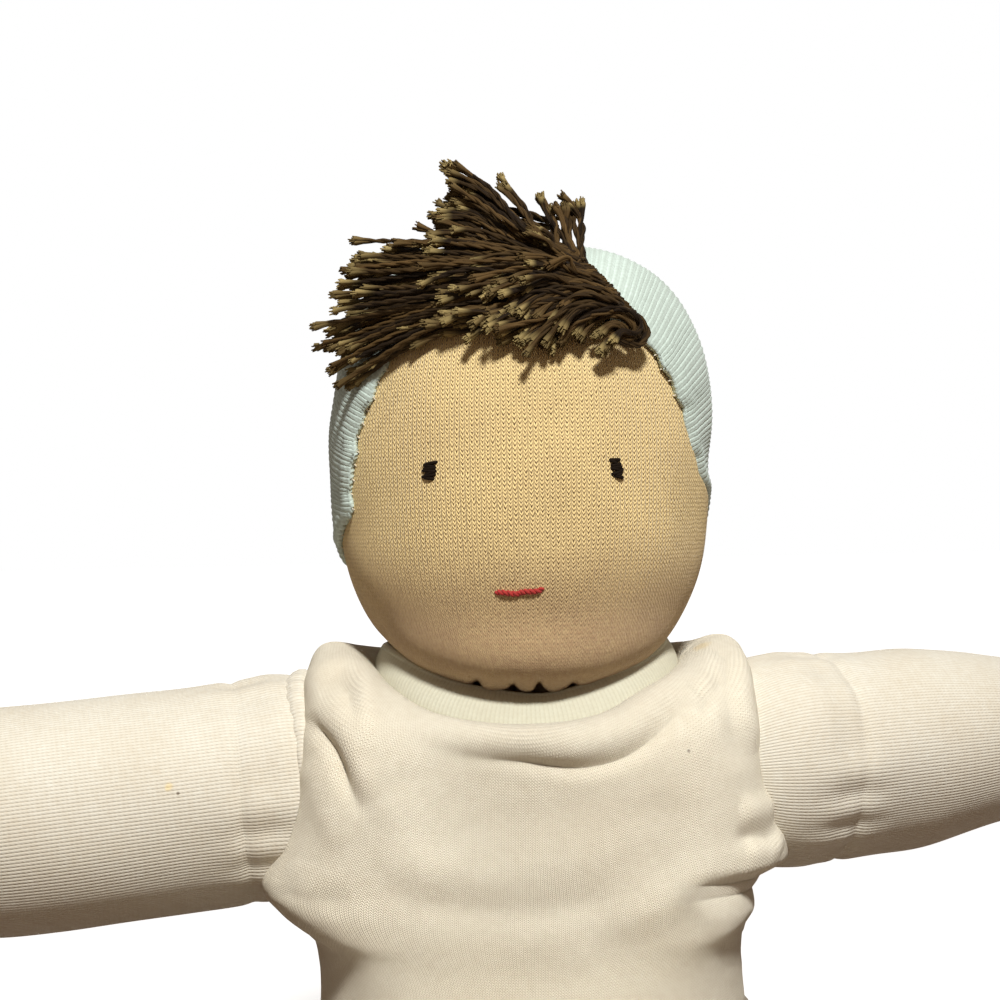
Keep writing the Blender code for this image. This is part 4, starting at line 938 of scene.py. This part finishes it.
# Tufts of yarn in millimetres: bends and tip, the root's share along the strip, strands and spread
TUFTS = [
    ([(1, -20, 167.5), (-4.8, -14.5, 173.6), (-12, -13, 178.8)], 0.10, 4, 0.7),
    ([(0.5, -20, 166.7), (-4.9, -14.5, 171.6), (-11.5, -12, 175.4)], 0.15, 8, 1.1),
    ([(0, -19, 165.6), (-5, -15.5, 169.6), (-11.2, -12, 171.9)], 0.20, 8, 1.2),
    ([(-0.5, -19, 165.9), (-7.6, -16, 169.8), (-15.2, -14, 169.8)], 0.20, 3, 0.6),
    ([(-1.4, -20, 163.7), (-7.7, -18, 166.5), (-14.2, -13, 168.8)], 0.32, 8, 1.2),
    ([(-1.4, -22, 162.5), (-10.4, -19, 165.6), (-19, -16, 165.2)], 0.40, 3, 0.7),
    ([(3.1, -19, 166.2), (0.2, -15.5, 170.6), (-4, -13, 176.1)], 0.12, 2, 0.4),
    ([(5.5, -15, 168.2), (1.2, -13.5, 170.4), (-8.4, -13, 171.4)], 0.08, 3, 0.8),
    ([(0.4, -22, 162.7), (-6.8, -20.5, 164.4), (-14.5, -18, 164.2)], 0.42, 12, 1.5),
    ([(7.5, -20, 163.4), (5.2, -16, 169.6), (3.6, -15, 173.4)], 0.16, 2, 0.3),
    ([(8.6, -20, 162.9), (7.3, -17, 167.6), (6.4, -16, 171.3)], 0.24, 3, 0.4),
    ([(10.4, -20, 162.6), (9.3, -15.8, 169.1), (8.6, -15, 172.4)], 0.30, 3, 0.4),
    ([(6.6, -22, 162.2), (4.9, -21.8, 164.6), (2.7, -21, 165.6)], 0.36, 4, 0.9),
    ([(1.2, -24, 161.4), (-11.3, -20, 163.2), (-26.1, -10, 164.3)], 0.46, 9, 1.2),
    ([(1.2, -25, 160.4), (-11.3, -21, 161.9), (-27.5, -11, 162.8)], 0.50, 8, 1.3),
    ([(2, -26, 159.2), (-11.3, -23, 159.8), (-29.1, -12, 159.4)], 0.55, 11, 1.4),
    ([(2.9, -27, 157.9), (-9.5, -25.5, 157.4), (-25.7, -15, 156.2)], 0.60, 10, 1.3),
    ([(3.7, -28, 156.7), (-11.3, -26, 155.5), (-32, -13, 152.9)], 0.64, 11, 1.4),
    ([(4.6, -28, 155.9), (-11.3, -26.5, 153.8), (-32.3, -13, 149.4)], 0.68, 10, 1.3),
    ([(5.5, -28, 155), (-11.4, -27, 152.5), (-30.3, -15, 146)], 0.74, 9, 1.2),
    ([(5.5, -28, 154.2), (-12.3, -27.5, 151.8), (-29.1, -17, 142.7)], 0.78, 6, 0.8),
    ([(2.9, -28.5, 159.4), (-5.9, -28, 160.1), (-15.8, -25, 159.2)], 0.50, 5, 1.2),
    ([(3.8, -28.5, 157.6), (-5.1, -29, 157.4), (-14.9, -27, 156)], 0.56, 6, 1.2),
    ([(4.7, -29, 159.4), (-1.5, -29.2, 159.9), (-9, -28, 158.8)], 0.48, 6, 1.3),
    ([(7.3, -28.5, 155.5), (-0.7, -30, 153.6), (-7.9, -30.5, 149.9)], 0.74, 7, 1.2),
    ([(8.2, -29, 155.4), (1.9, -30.6, 154.5), (-4.3, -31.2, 151.5)], 0.70, 6, 1),
    ([(7.3, -29.5, 157.1), (0.2, -30.6, 156.7), (-6.4, -31.2, 154.4)], 0.62, 6, 1.1),
    ([(8.2, -29.5, 157.6), (3.8, -30.4, 157.4), (-1.6, -31.4, 154.9)], 0.60, 6, 1.1),
    ([(8.2, -28.5, 159.4), (5.6, -28.6, 160.3), (1.6, -29.4, 159.9)], 0.46, 5, 1),
    ([(7.3, -28.2, 154.4), (-4.3, -29, 153.6), (-14.1, -26.8, 152.3)], 0.72, 8, 1.3),
    ([(7, -27.5, 153.4), (-7, -28.4, 152), (-19, -24, 150.2)], 0.78, 7, 1.3),
    ([(8.2, -27.5, 154.3), (-1.6, -29.2, 152.5), (-10.5, -28.6, 151)], 0.80, 6, 1),
    ([(12.6, -27.8, 153.7), (7.2, -30, 153.2), (0, -31, 147.2)], 0.80, 6, 0.9),
    ([(13.5, -28.2, 153.2), (8.5, -30.3, 152.7), (2.6, -31, 146.6)], 0.83, 6, 0.8),
    ([(13.9, -29, 152.7), (9.4, -30.8, 151.7), (5.5, -30.8, 146.8)], 0.86, 5, 0.7),
    ([(13.9, -29, 154), (9.5, -30.4, 154.9), (5.6, -31.4, 150.9)], 0.78, 4, 0.6),
    ([(11.8, -27.5, 154.2), (4.5, -30.2, 152.3), (-3.5, -30.8, 148.4)], 0.80, 6, 1),
    ([(14.4, -27.5, 152.6), (11.2, -29.2, 151.4), (8.9, -29.5, 148.9)], 0.88, 4, 0.6),
    ([(13, -28.5, 155.8), (6, -30.5, 156.6), (-0.5, -31.6, 151.6)], 0.72, 5, 0.8),
]

# The knotted ends of the strip, in millimetres: a loop to the right, with its end hanging on the skin
KNOT_LINES = [
    [(13.5, -27.6, 153.6), (15.8, -27.4, 153.2), (18.7, -26, 151.7), (19.9, -25.8, 149.3), (18.5, -27.2, 147.4),
     (16, -28.7, 147.8), (13.9, -30, 147.9), (12.5, -30.3, 146.3)],
    [(12.8, -28.6, 151.6), (14.6, -28.8, 152.5), (17.2, -28, 151.8), (18.4, -27.6, 149.9), (17.4, -28.4, 148.5),
     (15.2, -29.6, 148.8), (13.7, -30.4, 147.2)],
    [(17.6, -25.6, 152.6), (19.4, -25, 150.6), (19.2, -25.2, 148.4), (17.6, -27.2, 148.2), (16.6, -28.4, 150),
     (14.8, -29.4, 150.6), (13.2, -29.6, 149.4)],
]


def yarn_finish():
    """Soft brown yarn, streaked along its fibres, with its cut ends painted paler olive by a random amount per
    strand, partly as painted highlight.
    """
    finish, wire = new_finish("brown_yarn", 0.75, 0.0, 0.1)
    around, way = flat_place(wire)
    number = around.maths("FLOOR", around)
    tone = (number * 0.6180) % 1
    lay = wire.node("CombineXYZ", {}, {0: around * 9, 1: way * 5 + number * 3.7})
    streak = wire.node("TexNoise", {}, {"Vector": lay, "Scale": 1.0, "Detail": 3.0}, out=0)
    base = mixed(streak * 1.6 + tone * 0.8 - 0.85, YARN_DARK, YARN_MIDDLE)
    # Some cut ends are painted paler olive over their last part, partly as the frayed fibres' own paler colour
    # and partly as painted highlight.
    pale_tips_and_highlight = way.step(0.91, 1.0) * ((number * 0.3819) % 1) ** 1.1 * (streak * 0.8 + 0.5)
    dress(finish, mixed(pale_tips_and_highlight, base, YARN_OLIVE), streak, 0.00012)
    return finish


def strip_place(share, lift):
    """Points along the strip that the hair is sewn to."""
    start, middle, end = STRIP_LINE
    return on_head(start * (1 - share) * (1 - 2 * share) + middle * 4 * share * (1 - share)
                   + end * share * (2 * share - 1), lift)


def twisted(paths, reach, pitch, plies, away, splay=0.0):
    """The plies of each yarn wound round its path, spreading apart and untwisting at its cut end."""
    out, side = frames(paths, away)
    way = np.array([way_along(path) for path in paths])[..., None]
    left = way[:, -1:] - way
    wide = reach * (1 + splay * rise(0.0016 - left, 0, 0.0016))
    turn = (way - (splay > 0) * np.maximum(0.003 - left, 0)) / pitch * math.tau
    return np.concatenate([paths + (out * np.cos(turn + start) + side * np.sin(turn + start)) * wide
                           for start in circle(plies)])


def hair_paths():
    """The middle line of every strand of the tuft."""
    paths = []
    share = np.linspace(0, 1, 30)[:, None]
    for line, root, count, spread in TUFTS:
        for _ in range(round(count * HAIR_FULLNESS)):
            foot = strip_place(np.clip(root + rng.normal(0, 0.035), 0, 0.9),
                               strip_lift + rng.uniform(0.0, 1.4) / 1000)
            aside = rng.normal(0, spread, 3) * (1.2, 1.0, 0.9) / 1000
            bends = np.array(line) / 1000
            bends += aside * np.array([[0.35], [0.75], [1.0]]) + rng.normal(0, 0.00045, bends.shape)
            strand = smoothed(np.concatenate([foot[None], bends]), 60)
            strand = evened(strand, 60, closed=False)[:60 - rng.integers(0, 10)]
            strand = evened(strand, len(share), closed=False)
            strand += rng.normal(0, 0.00035, 3) * np.sin(math.pi * share * 2 + rng.uniform(0, 6)) * share
            least = np.linalg.norm(on_head(strand - head_centre, 0.0) - head_centre, axis=-1) + 0.0016
            reach = np.linalg.norm(strand - head_centre, axis=-1)
            paths.append(head_centre + unit(strand - head_centre) * np.maximum(reach, least)[:, None])
    for line in KNOT_LINES * 3:
        line = np.array(line) + rng.normal(0, 0.45, 3)
        paths.append(evened(smoothed(line / 1000, 120), len(share), closed=False))
    return np.array(paths)


def brushes(paths):
    """The fibres that stand out of each strand's cut end."""
    end, ahead = paths[:, -1], unit(paths[:, -1] - paths[:, -3])
    numbers = np.repeat(np.arange(len(paths)), BRUSH_FIBRES)
    end, ahead = end[numbers], ahead[numbers]
    aside = rng.normal(0, 1, end.shape)
    aside = unit(aside - ahead * np.sum(aside * ahead, -1, keepdims=True))
    aside *= rng.uniform(0.1, 1, (len(end), 1)) ** 0.5
    length = rng.uniform(0.0003, 0.0010, (len(end), 1))
    share = np.linspace(-0.4, 1, 5)[None, :, None]
    fibres = (end + aside * PLY_RADIUS * 2.1)[:, None] + share * (ahead * length + aside * 0.00018)[:, None]
    return fibres, numbers, aside


yarn = yarn_finish()
rng = np.random.default_rng(7)
strip_lift = 0.0006 + STRIP_RADIUS
middles = hair_paths()
outward = unit(middles - head_centre)
left = np.linalg.norm(middles - middles[:, -1:], axis=-1)
thickness = np.tile(PLY_RADIUS * (1 + 0.75 * rise(0.0034 - left, 0, 0.0034)), (2, 1))
tuft = tubes("hair_yarn", twisted(middles, PLY_REACH, PLY_PITCH, 2, outward, 0.9), thickness, yarn,
             np.concatenate([outward] * 2), numbers=np.tile(np.arange(len(middles)), 2))
settle(tuft, "head", "hair_tuft")
fibres, numbers, aside = brushes(middles)
ends = tubes("hair_yarn_ends", fibres, np.linspace(0.00018, 0.00014, 5), yarn,
             aside[:, None] + 0.01 + 0 * fibres, 3, numbers=numbers, start=1.0)
settle(ends, "head")

wrap_share = np.linspace(0, 0.92, 460)[:, None]
core = strip_place(wrap_share, strip_lift)
wrap_out, wrap_side = frames(core[None], unit(core - head_centre)[None])
wrap_angle = wrap_share * STRIP_TURNS * math.tau
wrap = core + (wrap_out[0] * np.cos(wrap_angle) + wrap_side[0] * np.sin(wrap_angle)) * STRIP_RADIUS * 0.95
away = unit(wrap - core)[None]
strip = tubes("hair_strip_binding", twisted(wrap[None], PLY_REACH, PLY_PITCH, 2, away), PLY_RADIUS, yarn,
              np.concatenate([away] * 2))
settle(strip, "head", "hair_strip")

# The face, two eyes of dark floss in short level stitches laid one above the other, and a mouth of
# two back stitches in red floss.
EYE_PLACES = {"left": (14.8, 127.5), "right": (-15.3, 127.7)}
EYE_STITCHES = {"left": (8, 1.50), "right": (7, 1.85)}
EYE_LEANS = {"left": 0.24, "right": -0.12}
EYE_PITCH = 0.39
MOUTH_STITCHES = [((-4.9, 108.1), (-0.6, 108.0)), ((-1.4, 108.0), (2.5, 108.5))]


def on_face(line, lift):
    """A line drawn on the face, in millimetres across and up, as points above the skin."""
    across, height = line.T / 1000
    radius = np.interp(height, head_curve[:, 1], head_curve[:, 0])
    ahead = -np.sqrt(radius ** 2 - across ** 2) * head_ratio(height)
    return on_head(np.stack([across, ahead, height - head_centre[2]], -1), lift)


dark_floss = floss_finish("dark_floss", (0.014, 0.008, 0.004, 1), (0.003, 0.0015, 0.001, 1), 0.0, 0.06)
red_floss = floss_finish("red_floss", (0.52, 0.030, 0.022, 1), (0.16, 0.010, 0.012, 1), 0.1)
share = np.linspace(0, 1, 14)
sink = np.sin(math.pi * share) ** 0.5 * 0.00045 - 0.0002
ahead = np.array([0.0, -1.0, 0.0])
for side, (across, up) in EYE_PLACES.items():
    stitches = []
    count, width = EYE_STITCHES[side]
    for number in range(count):
        level = up + (number - (count - 1) / 2) * EYE_PITCH
        middle = across - (level - up) * EYE_LEANS[side]
        start = middle - width / 2 + rng.normal(0, 0.16)
        end = middle + width / 2 + rng.normal(0, 0.16)
        line = np.stack([start + share * (end - start), level + rng.normal(0, 0.45) * (share - 0.5)], -1)
        stitches.append(on_face(line, sink))
    eye = tubes(f"eye_{side}_stitches", np.array(stitches), 0.00029, dark_floss, ahead, 8)
    settle(eye, "head", f"eye_{side}")
lips = []
for (x0, z0), (x1, z1) in MOUTH_STITCHES:
    line = np.stack([x0 + share * (x1 - x0), z0 + share * (z1 - z0) + 0.1 * np.sin(share * 6)], -1)
    lips.append(evened(on_face(line, sink + 0.0001), 40, closed=False))
mouth_plies = twisted(np.array(lips), 0.00022, 0.0016, 2, ahead)
mouth = tubes("mouth_stitches", mouth_plies, 0.00028, red_floss, ahead, 8)
settle(mouth, "head", "mouth")

# The arms, tubes of cream rib knit with the ribs along them, closed over a round top that turns in
# the armhole, stuffed with wool and tied at the wrist over the hand's stub.
ARM_STYLES = {"left": (0.0175, 0.0171, 0.0165, -22.0, 1.5), "right": (0.0184, 0.0180, 0.0174, 12.0, -4.7)}
SLEEVE_PROFILE_SHARES = {
    "left": [(0.15, 1.030), (0.25, 1.015), (0.38, 0.995), (0.52, 0.925), (0.66, 0.835), (0.80, 0.770),
             (0.92, 0.710)],
    "right": [(0.15, 1.035), (0.25, 1.030), (0.42, 1.040), (0.60, 1.045), (0.76, 1.025), (0.87, 0.920),
              (0.95, 0.760)],
}
SLEEVE_LENGTH, CUFF_LENGTH, WRIST_RADIUS = 0.0700, 0.0052, 0.0108
RIB_THICKNESS = 0.0010
LIMB_COLUMNS, LIMB_ROWS = 300, 190


def limb_matrix(origin, along, up):
    """A limb's own frame, with +Z along it and +X upwards."""
    turn = Matrix((up, along.cross(up), along)).transposed().to_4x4()
    return np.array(Matrix.Translation(origin) @ turn)


def into_world(points, matrix):
    """Points of a limb's own frame in the doll's frame."""
    return points @ matrix[:3, :3].T + matrix[:3, 3]


def cover_outline(ball, shoulder, waist, shares, cuff_start, end_radius, end):
    """Radius and place along a limb's cover, from its inner pole to its open end."""
    angles = np.linspace(math.pi, math.asin(shoulder / ball), 9)
    outline = [(ball * math.sin(angle), ball * math.cos(angle)) for angle in angles]
    outline += [(waist * share, place * cuff_start) for place, share in shares]
    outline += [(end_radius * 1.02, cuff_start), (end_radius, end - CUFF_LENGTH / 2), (end_radius, end)]
    return evened(smoothed(outline, 400), LIMB_ROWS, closed=False)


def make_cover(name, outline, cuff_start, matrix, ribs, seed, core, body, node):
    """A stuffed cover, gathered at its round top and puckered where it is tied."""
    angle = circle(LIMB_COLUMNS)
    radius, along = outline[:, :1], outline[:, 1:]
    tied = cuff_start + 0.0026
    lift = 0.00022 * np.cos(angle * 19 + np.sin(angle * 4)) * bell(along - cuff_start + 0.004, 0.007)
    lift = lift - 0.0010 * bell(along - tied, 0.0012)
    lift = lift + 0.00030 * np.cos(angle * 13 + 2 * np.sin(angle * 3)) * bell(along - 0.004, 0.006)
    gather = bell(along - 0.0070 - 0.0010 * np.sin(angle * 2 + seed), 0.0013)
    lift = lift - 0.0007 * gather * (0.7 + 0.3 * np.sin(angle * 3))
    radius = np.maximum(radius + lift * (radius > 0.004), 0)
    points = joined(radius * np.cos(angle), radius * np.sin(angle), along)
    swell = 0.00035 * lumps(points, 0.022, seed) * rise(radius[:, 0], 0.006, 0.014)[:, None]
    points += unit(points * (1, 1, 0)) * swell[..., None]
    flat = flat_knit(LIMB_COLUMNS, ribs, way_along(outline) * 1000)
    points = into_world(points, matrix)
    points[..., 2] = np.maximum(points[..., 2], 0)
    cover = knit_mesh(name, points, flat, sleeve_rib)
    add_cloth(cover, RIB_THICKNESS)
    settle(cover, body, node)
    stuff(f"{core}_wool", points, RIB_THICKNESS + 0.0012, core, body)


def tie(name, radius, start, matrix, node, body):
    """A strong thread wound twice round a limb's end."""
    turn = np.linspace(0, math.tau * 2, 150)
    path = np.stack([radius * np.cos(turn), radius * np.sin(turn), start - turn / math.tau * 0.0016], -1)
    path = into_world(path, matrix)
    away = unit(path - into_world(np.array([[0, 0, start]]), matrix))[None]
    strands = twisted(path[None], 0.00024, 0.0016, 2, away)
    thread = tubes(name, strands, 0.00028, sewing_thread, np.concatenate([away] * 2))
    settle(thread, body, node)


sleeve_rib = rib_finish("sleeve_rib", RIB_COLOUR, RIB_SHADE, 1.0, 0.00008)
arm_frames = {}
for side, (ball, shoulder, waist, swing, lift) in ARM_STYLES.items():
    sign = 1 if side == "left" else -1
    swing, lift = math.radians(swing), math.radians(lift)
    level = Vector((sign * math.cos(swing), -math.sin(swing), 0.0))
    along = level * math.cos(lift) + Vector((0, 0, math.sin(lift)))
    up = level * -math.sin(lift) + Vector((0, 0, math.cos(lift)))
    matrix = arm_frames[side] = limb_matrix(Vector(arm_centres[side]), along, up)
    cuff_start = SLEEVE_LENGTH - CUFF_LENGTH
    outline = cover_outline(ball, shoulder, waist, SLEEVE_PROFILE_SHARES[side], cuff_start, WRIST_RADIUS,
                            SLEEVE_LENGTH)
    make_cover(f"sleeve_{side}_rib", outline, cuff_start, matrix, 196, 31 + sign,
               f"arm_core_{side}", f"arm_{side}", f"sleeve_{side}")
    tie(f"wrist_tie_{side}_thread", WRIST_RADIUS + 0.0003, SLEEVE_LENGTH - 0.0010, matrix,
        f"wrist_tie_{side}", f"arm_{side}")

# The hands, mittens of peach knit stuffed with wool, each with a small thumb on top.
HAND_LENGTH, HAND_WIDTH, HAND_THICKNESS = 0.0275, 0.0220, 0.0150
THUMB_LENGTH, THUMB_DIAMETER, THUMB_TILT = 0.0120, 0.0085, 38.0
HAND_PROFILE_SHARES = [
    (0.06, 0.86), (0.20, 0.95), (0.42, 1.00), (0.64, 0.97), (0.82, 0.82), (0.94, 0.52), (1.00, 0.00),
]
THUMB_PROFILE_SHARES = [(0.0, 0.0), (0.0, 0.7), (0.3, 1.0), (0.7, 0.9), (0.92, 0.55), (1.0, 0.0)]


def turned_grid(outline, columns, rows):
    """A grid of points turned about Z from an outline of radius and height."""
    curve = evened(smoothed(outline, 300), rows, closed=False)
    angle = circle(columns)
    radius = np.maximum(curve[:, :1], 0)
    return joined(radius * np.cos(angle), radius * np.sin(angle), curve[:, 1:])


def merged_skin(name, grids, matrix, finish, node, body, across_axis):
    """Join round forms into one knit skin, and lay the stitches along the limb."""
    mesh = bmesh.new()
    for grid in grids:
        rows, columns = grid.shape[:2]
        verts = [[mesh.verts.new(point) for point in row] for row in grid]
        for low, high in zip(verts, verts[1:]):
            for index in range(columns):
                after = (index + 1) % columns
                mesh.faces.new((low[index], low[after], high[after], high[index]))
    bmesh.ops.remove_doubles(mesh, verts=mesh.verts, dist=0.00002)
    bmesh.ops.holes_fill(mesh, edges=[edge for edge in mesh.edges if edge.is_boundary])
    bmesh.ops.recalc_face_normals(mesh, faces=mesh.faces)
    data = bpy.data.meshes.new(name)
    mesh.to_mesh(data)
    mesh.free()
    item = place_object(name, data)
    merge = item.modifiers.new("merge", "REMESH")
    merge.mode, merge.voxel_size = "VOXEL", 0.0006
    smooth = item.modifiers.new("smooth", "SMOOTH")
    smooth.factor, smooth.iterations = 0.5, 12
    data = bpy.data.meshes.new_from_object(item.evaluated_get(bpy.context.evaluated_depsgraph_get()))
    item.modifiers.clear()
    item.data = data
    places = np.empty(len(data.vertices) * 3)
    data.vertices.foreach_get("co", places)
    places = places.reshape(-1, 3)
    corner = np.empty(len(data.loops), int)
    data.loops.foreach_get("vertex_index", corner)
    flat = (places[corner][:, [across_axis, 2]] * 1000).astype(np.float32)
    data.uv_layers.new(name="knit").data.foreach_set("uv", flat.reshape(-1))
    data.vertices.foreach_set("co", into_world(places, matrix).reshape(-1))
    data.shade_smooth()
    data.materials.append(finish)
    settle(item, body, node)


limb_skin = skin_finish("limb_skin_knit", 0.85, SKIN_COURSE)
for side, matrix in arm_frames.items():
    half = HAND_WIDTH / 2
    stub = WRIST_RADIUS - RIB_THICKNESS - 0.0003
    outline = [(0.0, SLEEVE_LENGTH - CUFF_LENGTH), (stub, SLEEVE_LENGTH - CUFF_LENGTH), (stub, SLEEVE_LENGTH)]
    outline += [(half * share, SLEEVE_LENGTH + place * HAND_LENGTH) for place, share in HAND_PROFILE_SHARES]
    mitten = turned_grid(outline, 80, 90)
    full = np.clip((mitten[..., 2] - SLEEVE_LENGTH) / HAND_LENGTH / HAND_PROFILE_SHARES[1][0], 0, 1)
    mitten[..., 1] *= 1 + (HAND_THICKNESS / HAND_WIDTH - 1) * full
    thumb = turned_grid([(share * THUMB_DIAMETER / 2, place * THUMB_LENGTH)
                         for place, share in THUMB_PROFILE_SHARES], 48, 50)
    tilt = math.radians(THUMB_TILT)
    turn = np.array([[math.cos(tilt), 0, math.sin(tilt)], [0, 1, 0], [-math.sin(tilt), 0, math.cos(tilt)]])
    thumb = thumb @ turn.T + (half * HAND_PROFILE_SHARES[1][1] - THUMB_DIAMETER / 2, 0.0,
                              SLEEVE_LENGTH + HAND_PROFILE_SHARES[1][0] * HAND_LENGTH)
    merged_skin(f"hand_{side}_knit", [mitten, thumb], matrix, limb_skin, f"hand_{side}", f"arm_{side}", 0)

# The legs, tubes of cream rib knit like the sleeves, closed over a round top under the belly and
# tied at the ankle, with a foot of peach knit whose toes point up.
LEG_LENGTH, ANKLE_RADIUS = 0.0960, 0.0098
LEG_PROFILE_SHARES = [(0.26, 1.02), (0.50, 1.02), (0.74, 0.93), (0.93, 0.80)]
FOOT_HEIGHT, FOOT_WIDTH, FOOT_THICKNESS = 0.0410, 0.0225, 0.0195
HEEL_FULLNESS, TOE_SWELL, TOE_SWELL_POWER, FOOT_SQUARENESS = 0.86, 0.20, 0.8, 0.45


def foot_grid(heel_height):
    """The foot, a rounded pad that is fuller towards its toes."""
    polar = np.linspace(math.pi, 0, 60)[:, None]
    turn = circle(72)
    ball = joined(np.sin(polar) * np.cos(turn), np.sin(polar) * np.sin(turn), np.cos(polar))
    toe = (ball[..., 2] + 1) / 2
    fullness = HEEL_FULLNESS + TOE_SWELL * np.sin(math.pi * toe ** TOE_SWELL_POWER)
    square = np.sum(ball ** 4, -1) ** -0.25
    ball *= (1 + (square - 1) * FOOT_SQUARENESS)[..., None]
    foot = np.stack([ball[..., 2] * FOOT_HEIGHT / 2, ball[..., 1] * FOOT_WIDTH / 2 * fullness,
                     -ball[..., 0] * FOOT_THICKNESS / 2 * fullness], -1)
    foot[..., 0] += heel_height - foot[..., 0].min()
    foot[..., 2] += LEG_LENGTH + 0.0003 + FOOT_THICKNESS / 2
    foot[..., 0] = np.maximum(foot[..., 0], heel_height)
    return foot


for side in ("left", "right"):
    pivot = Vector(joints[f"leg_{side}_fold"]["pos_m"])
    matrix = limb_matrix(pivot, Vector((0, -1, 0)), Vector((0, 0, 1)))
    cuff_start = LEG_LENGTH - CUFF_LENGTH
    outline = cover_outline(LEG_BALL, LEG_WAIST, LEG_WAIST, LEG_PROFILE_SHARES, cuff_start, ANKLE_RADIUS,
                            LEG_LENGTH)
    make_cover(f"leg_{side}_rib", outline, cuff_start, matrix, 160, 51,
               f"leg_core_{side}", f"leg_{side}", f"leg_cover_{side}")
    tie(f"ankle_tie_{side}_thread", ANKLE_RADIUS + 0.0003, LEG_LENGTH - 0.0010, matrix,
        f"ankle_tie_{side}", f"leg_{side}")
    stub = ANKLE_RADIUS - RIB_THICKNESS - 0.0003
    peg = turned_grid([(0.0, cuff_start), (stub, cuff_start), (stub, LEG_LENGTH + 0.006),
                       (0.0, LEG_LENGTH + 0.0065)], 64, 50)
    merged_skin(f"foot_{side}_knit", [peg, foot_grid(0.0003 - pivot.z)], matrix, limb_skin,
                f"foot_{side}", f"leg_{side}", 1)

# The strong threads that are wound under the covers, at the neck, the eye line and the shoulders.
for node, thread in frame["nodes"].items():
    if node in ("neck_tie", "eye_line_tie") or node.startswith("shoulder_thread"):
        thread.data.materials.clear()
        thread.data.materials.append(sewing_thread)
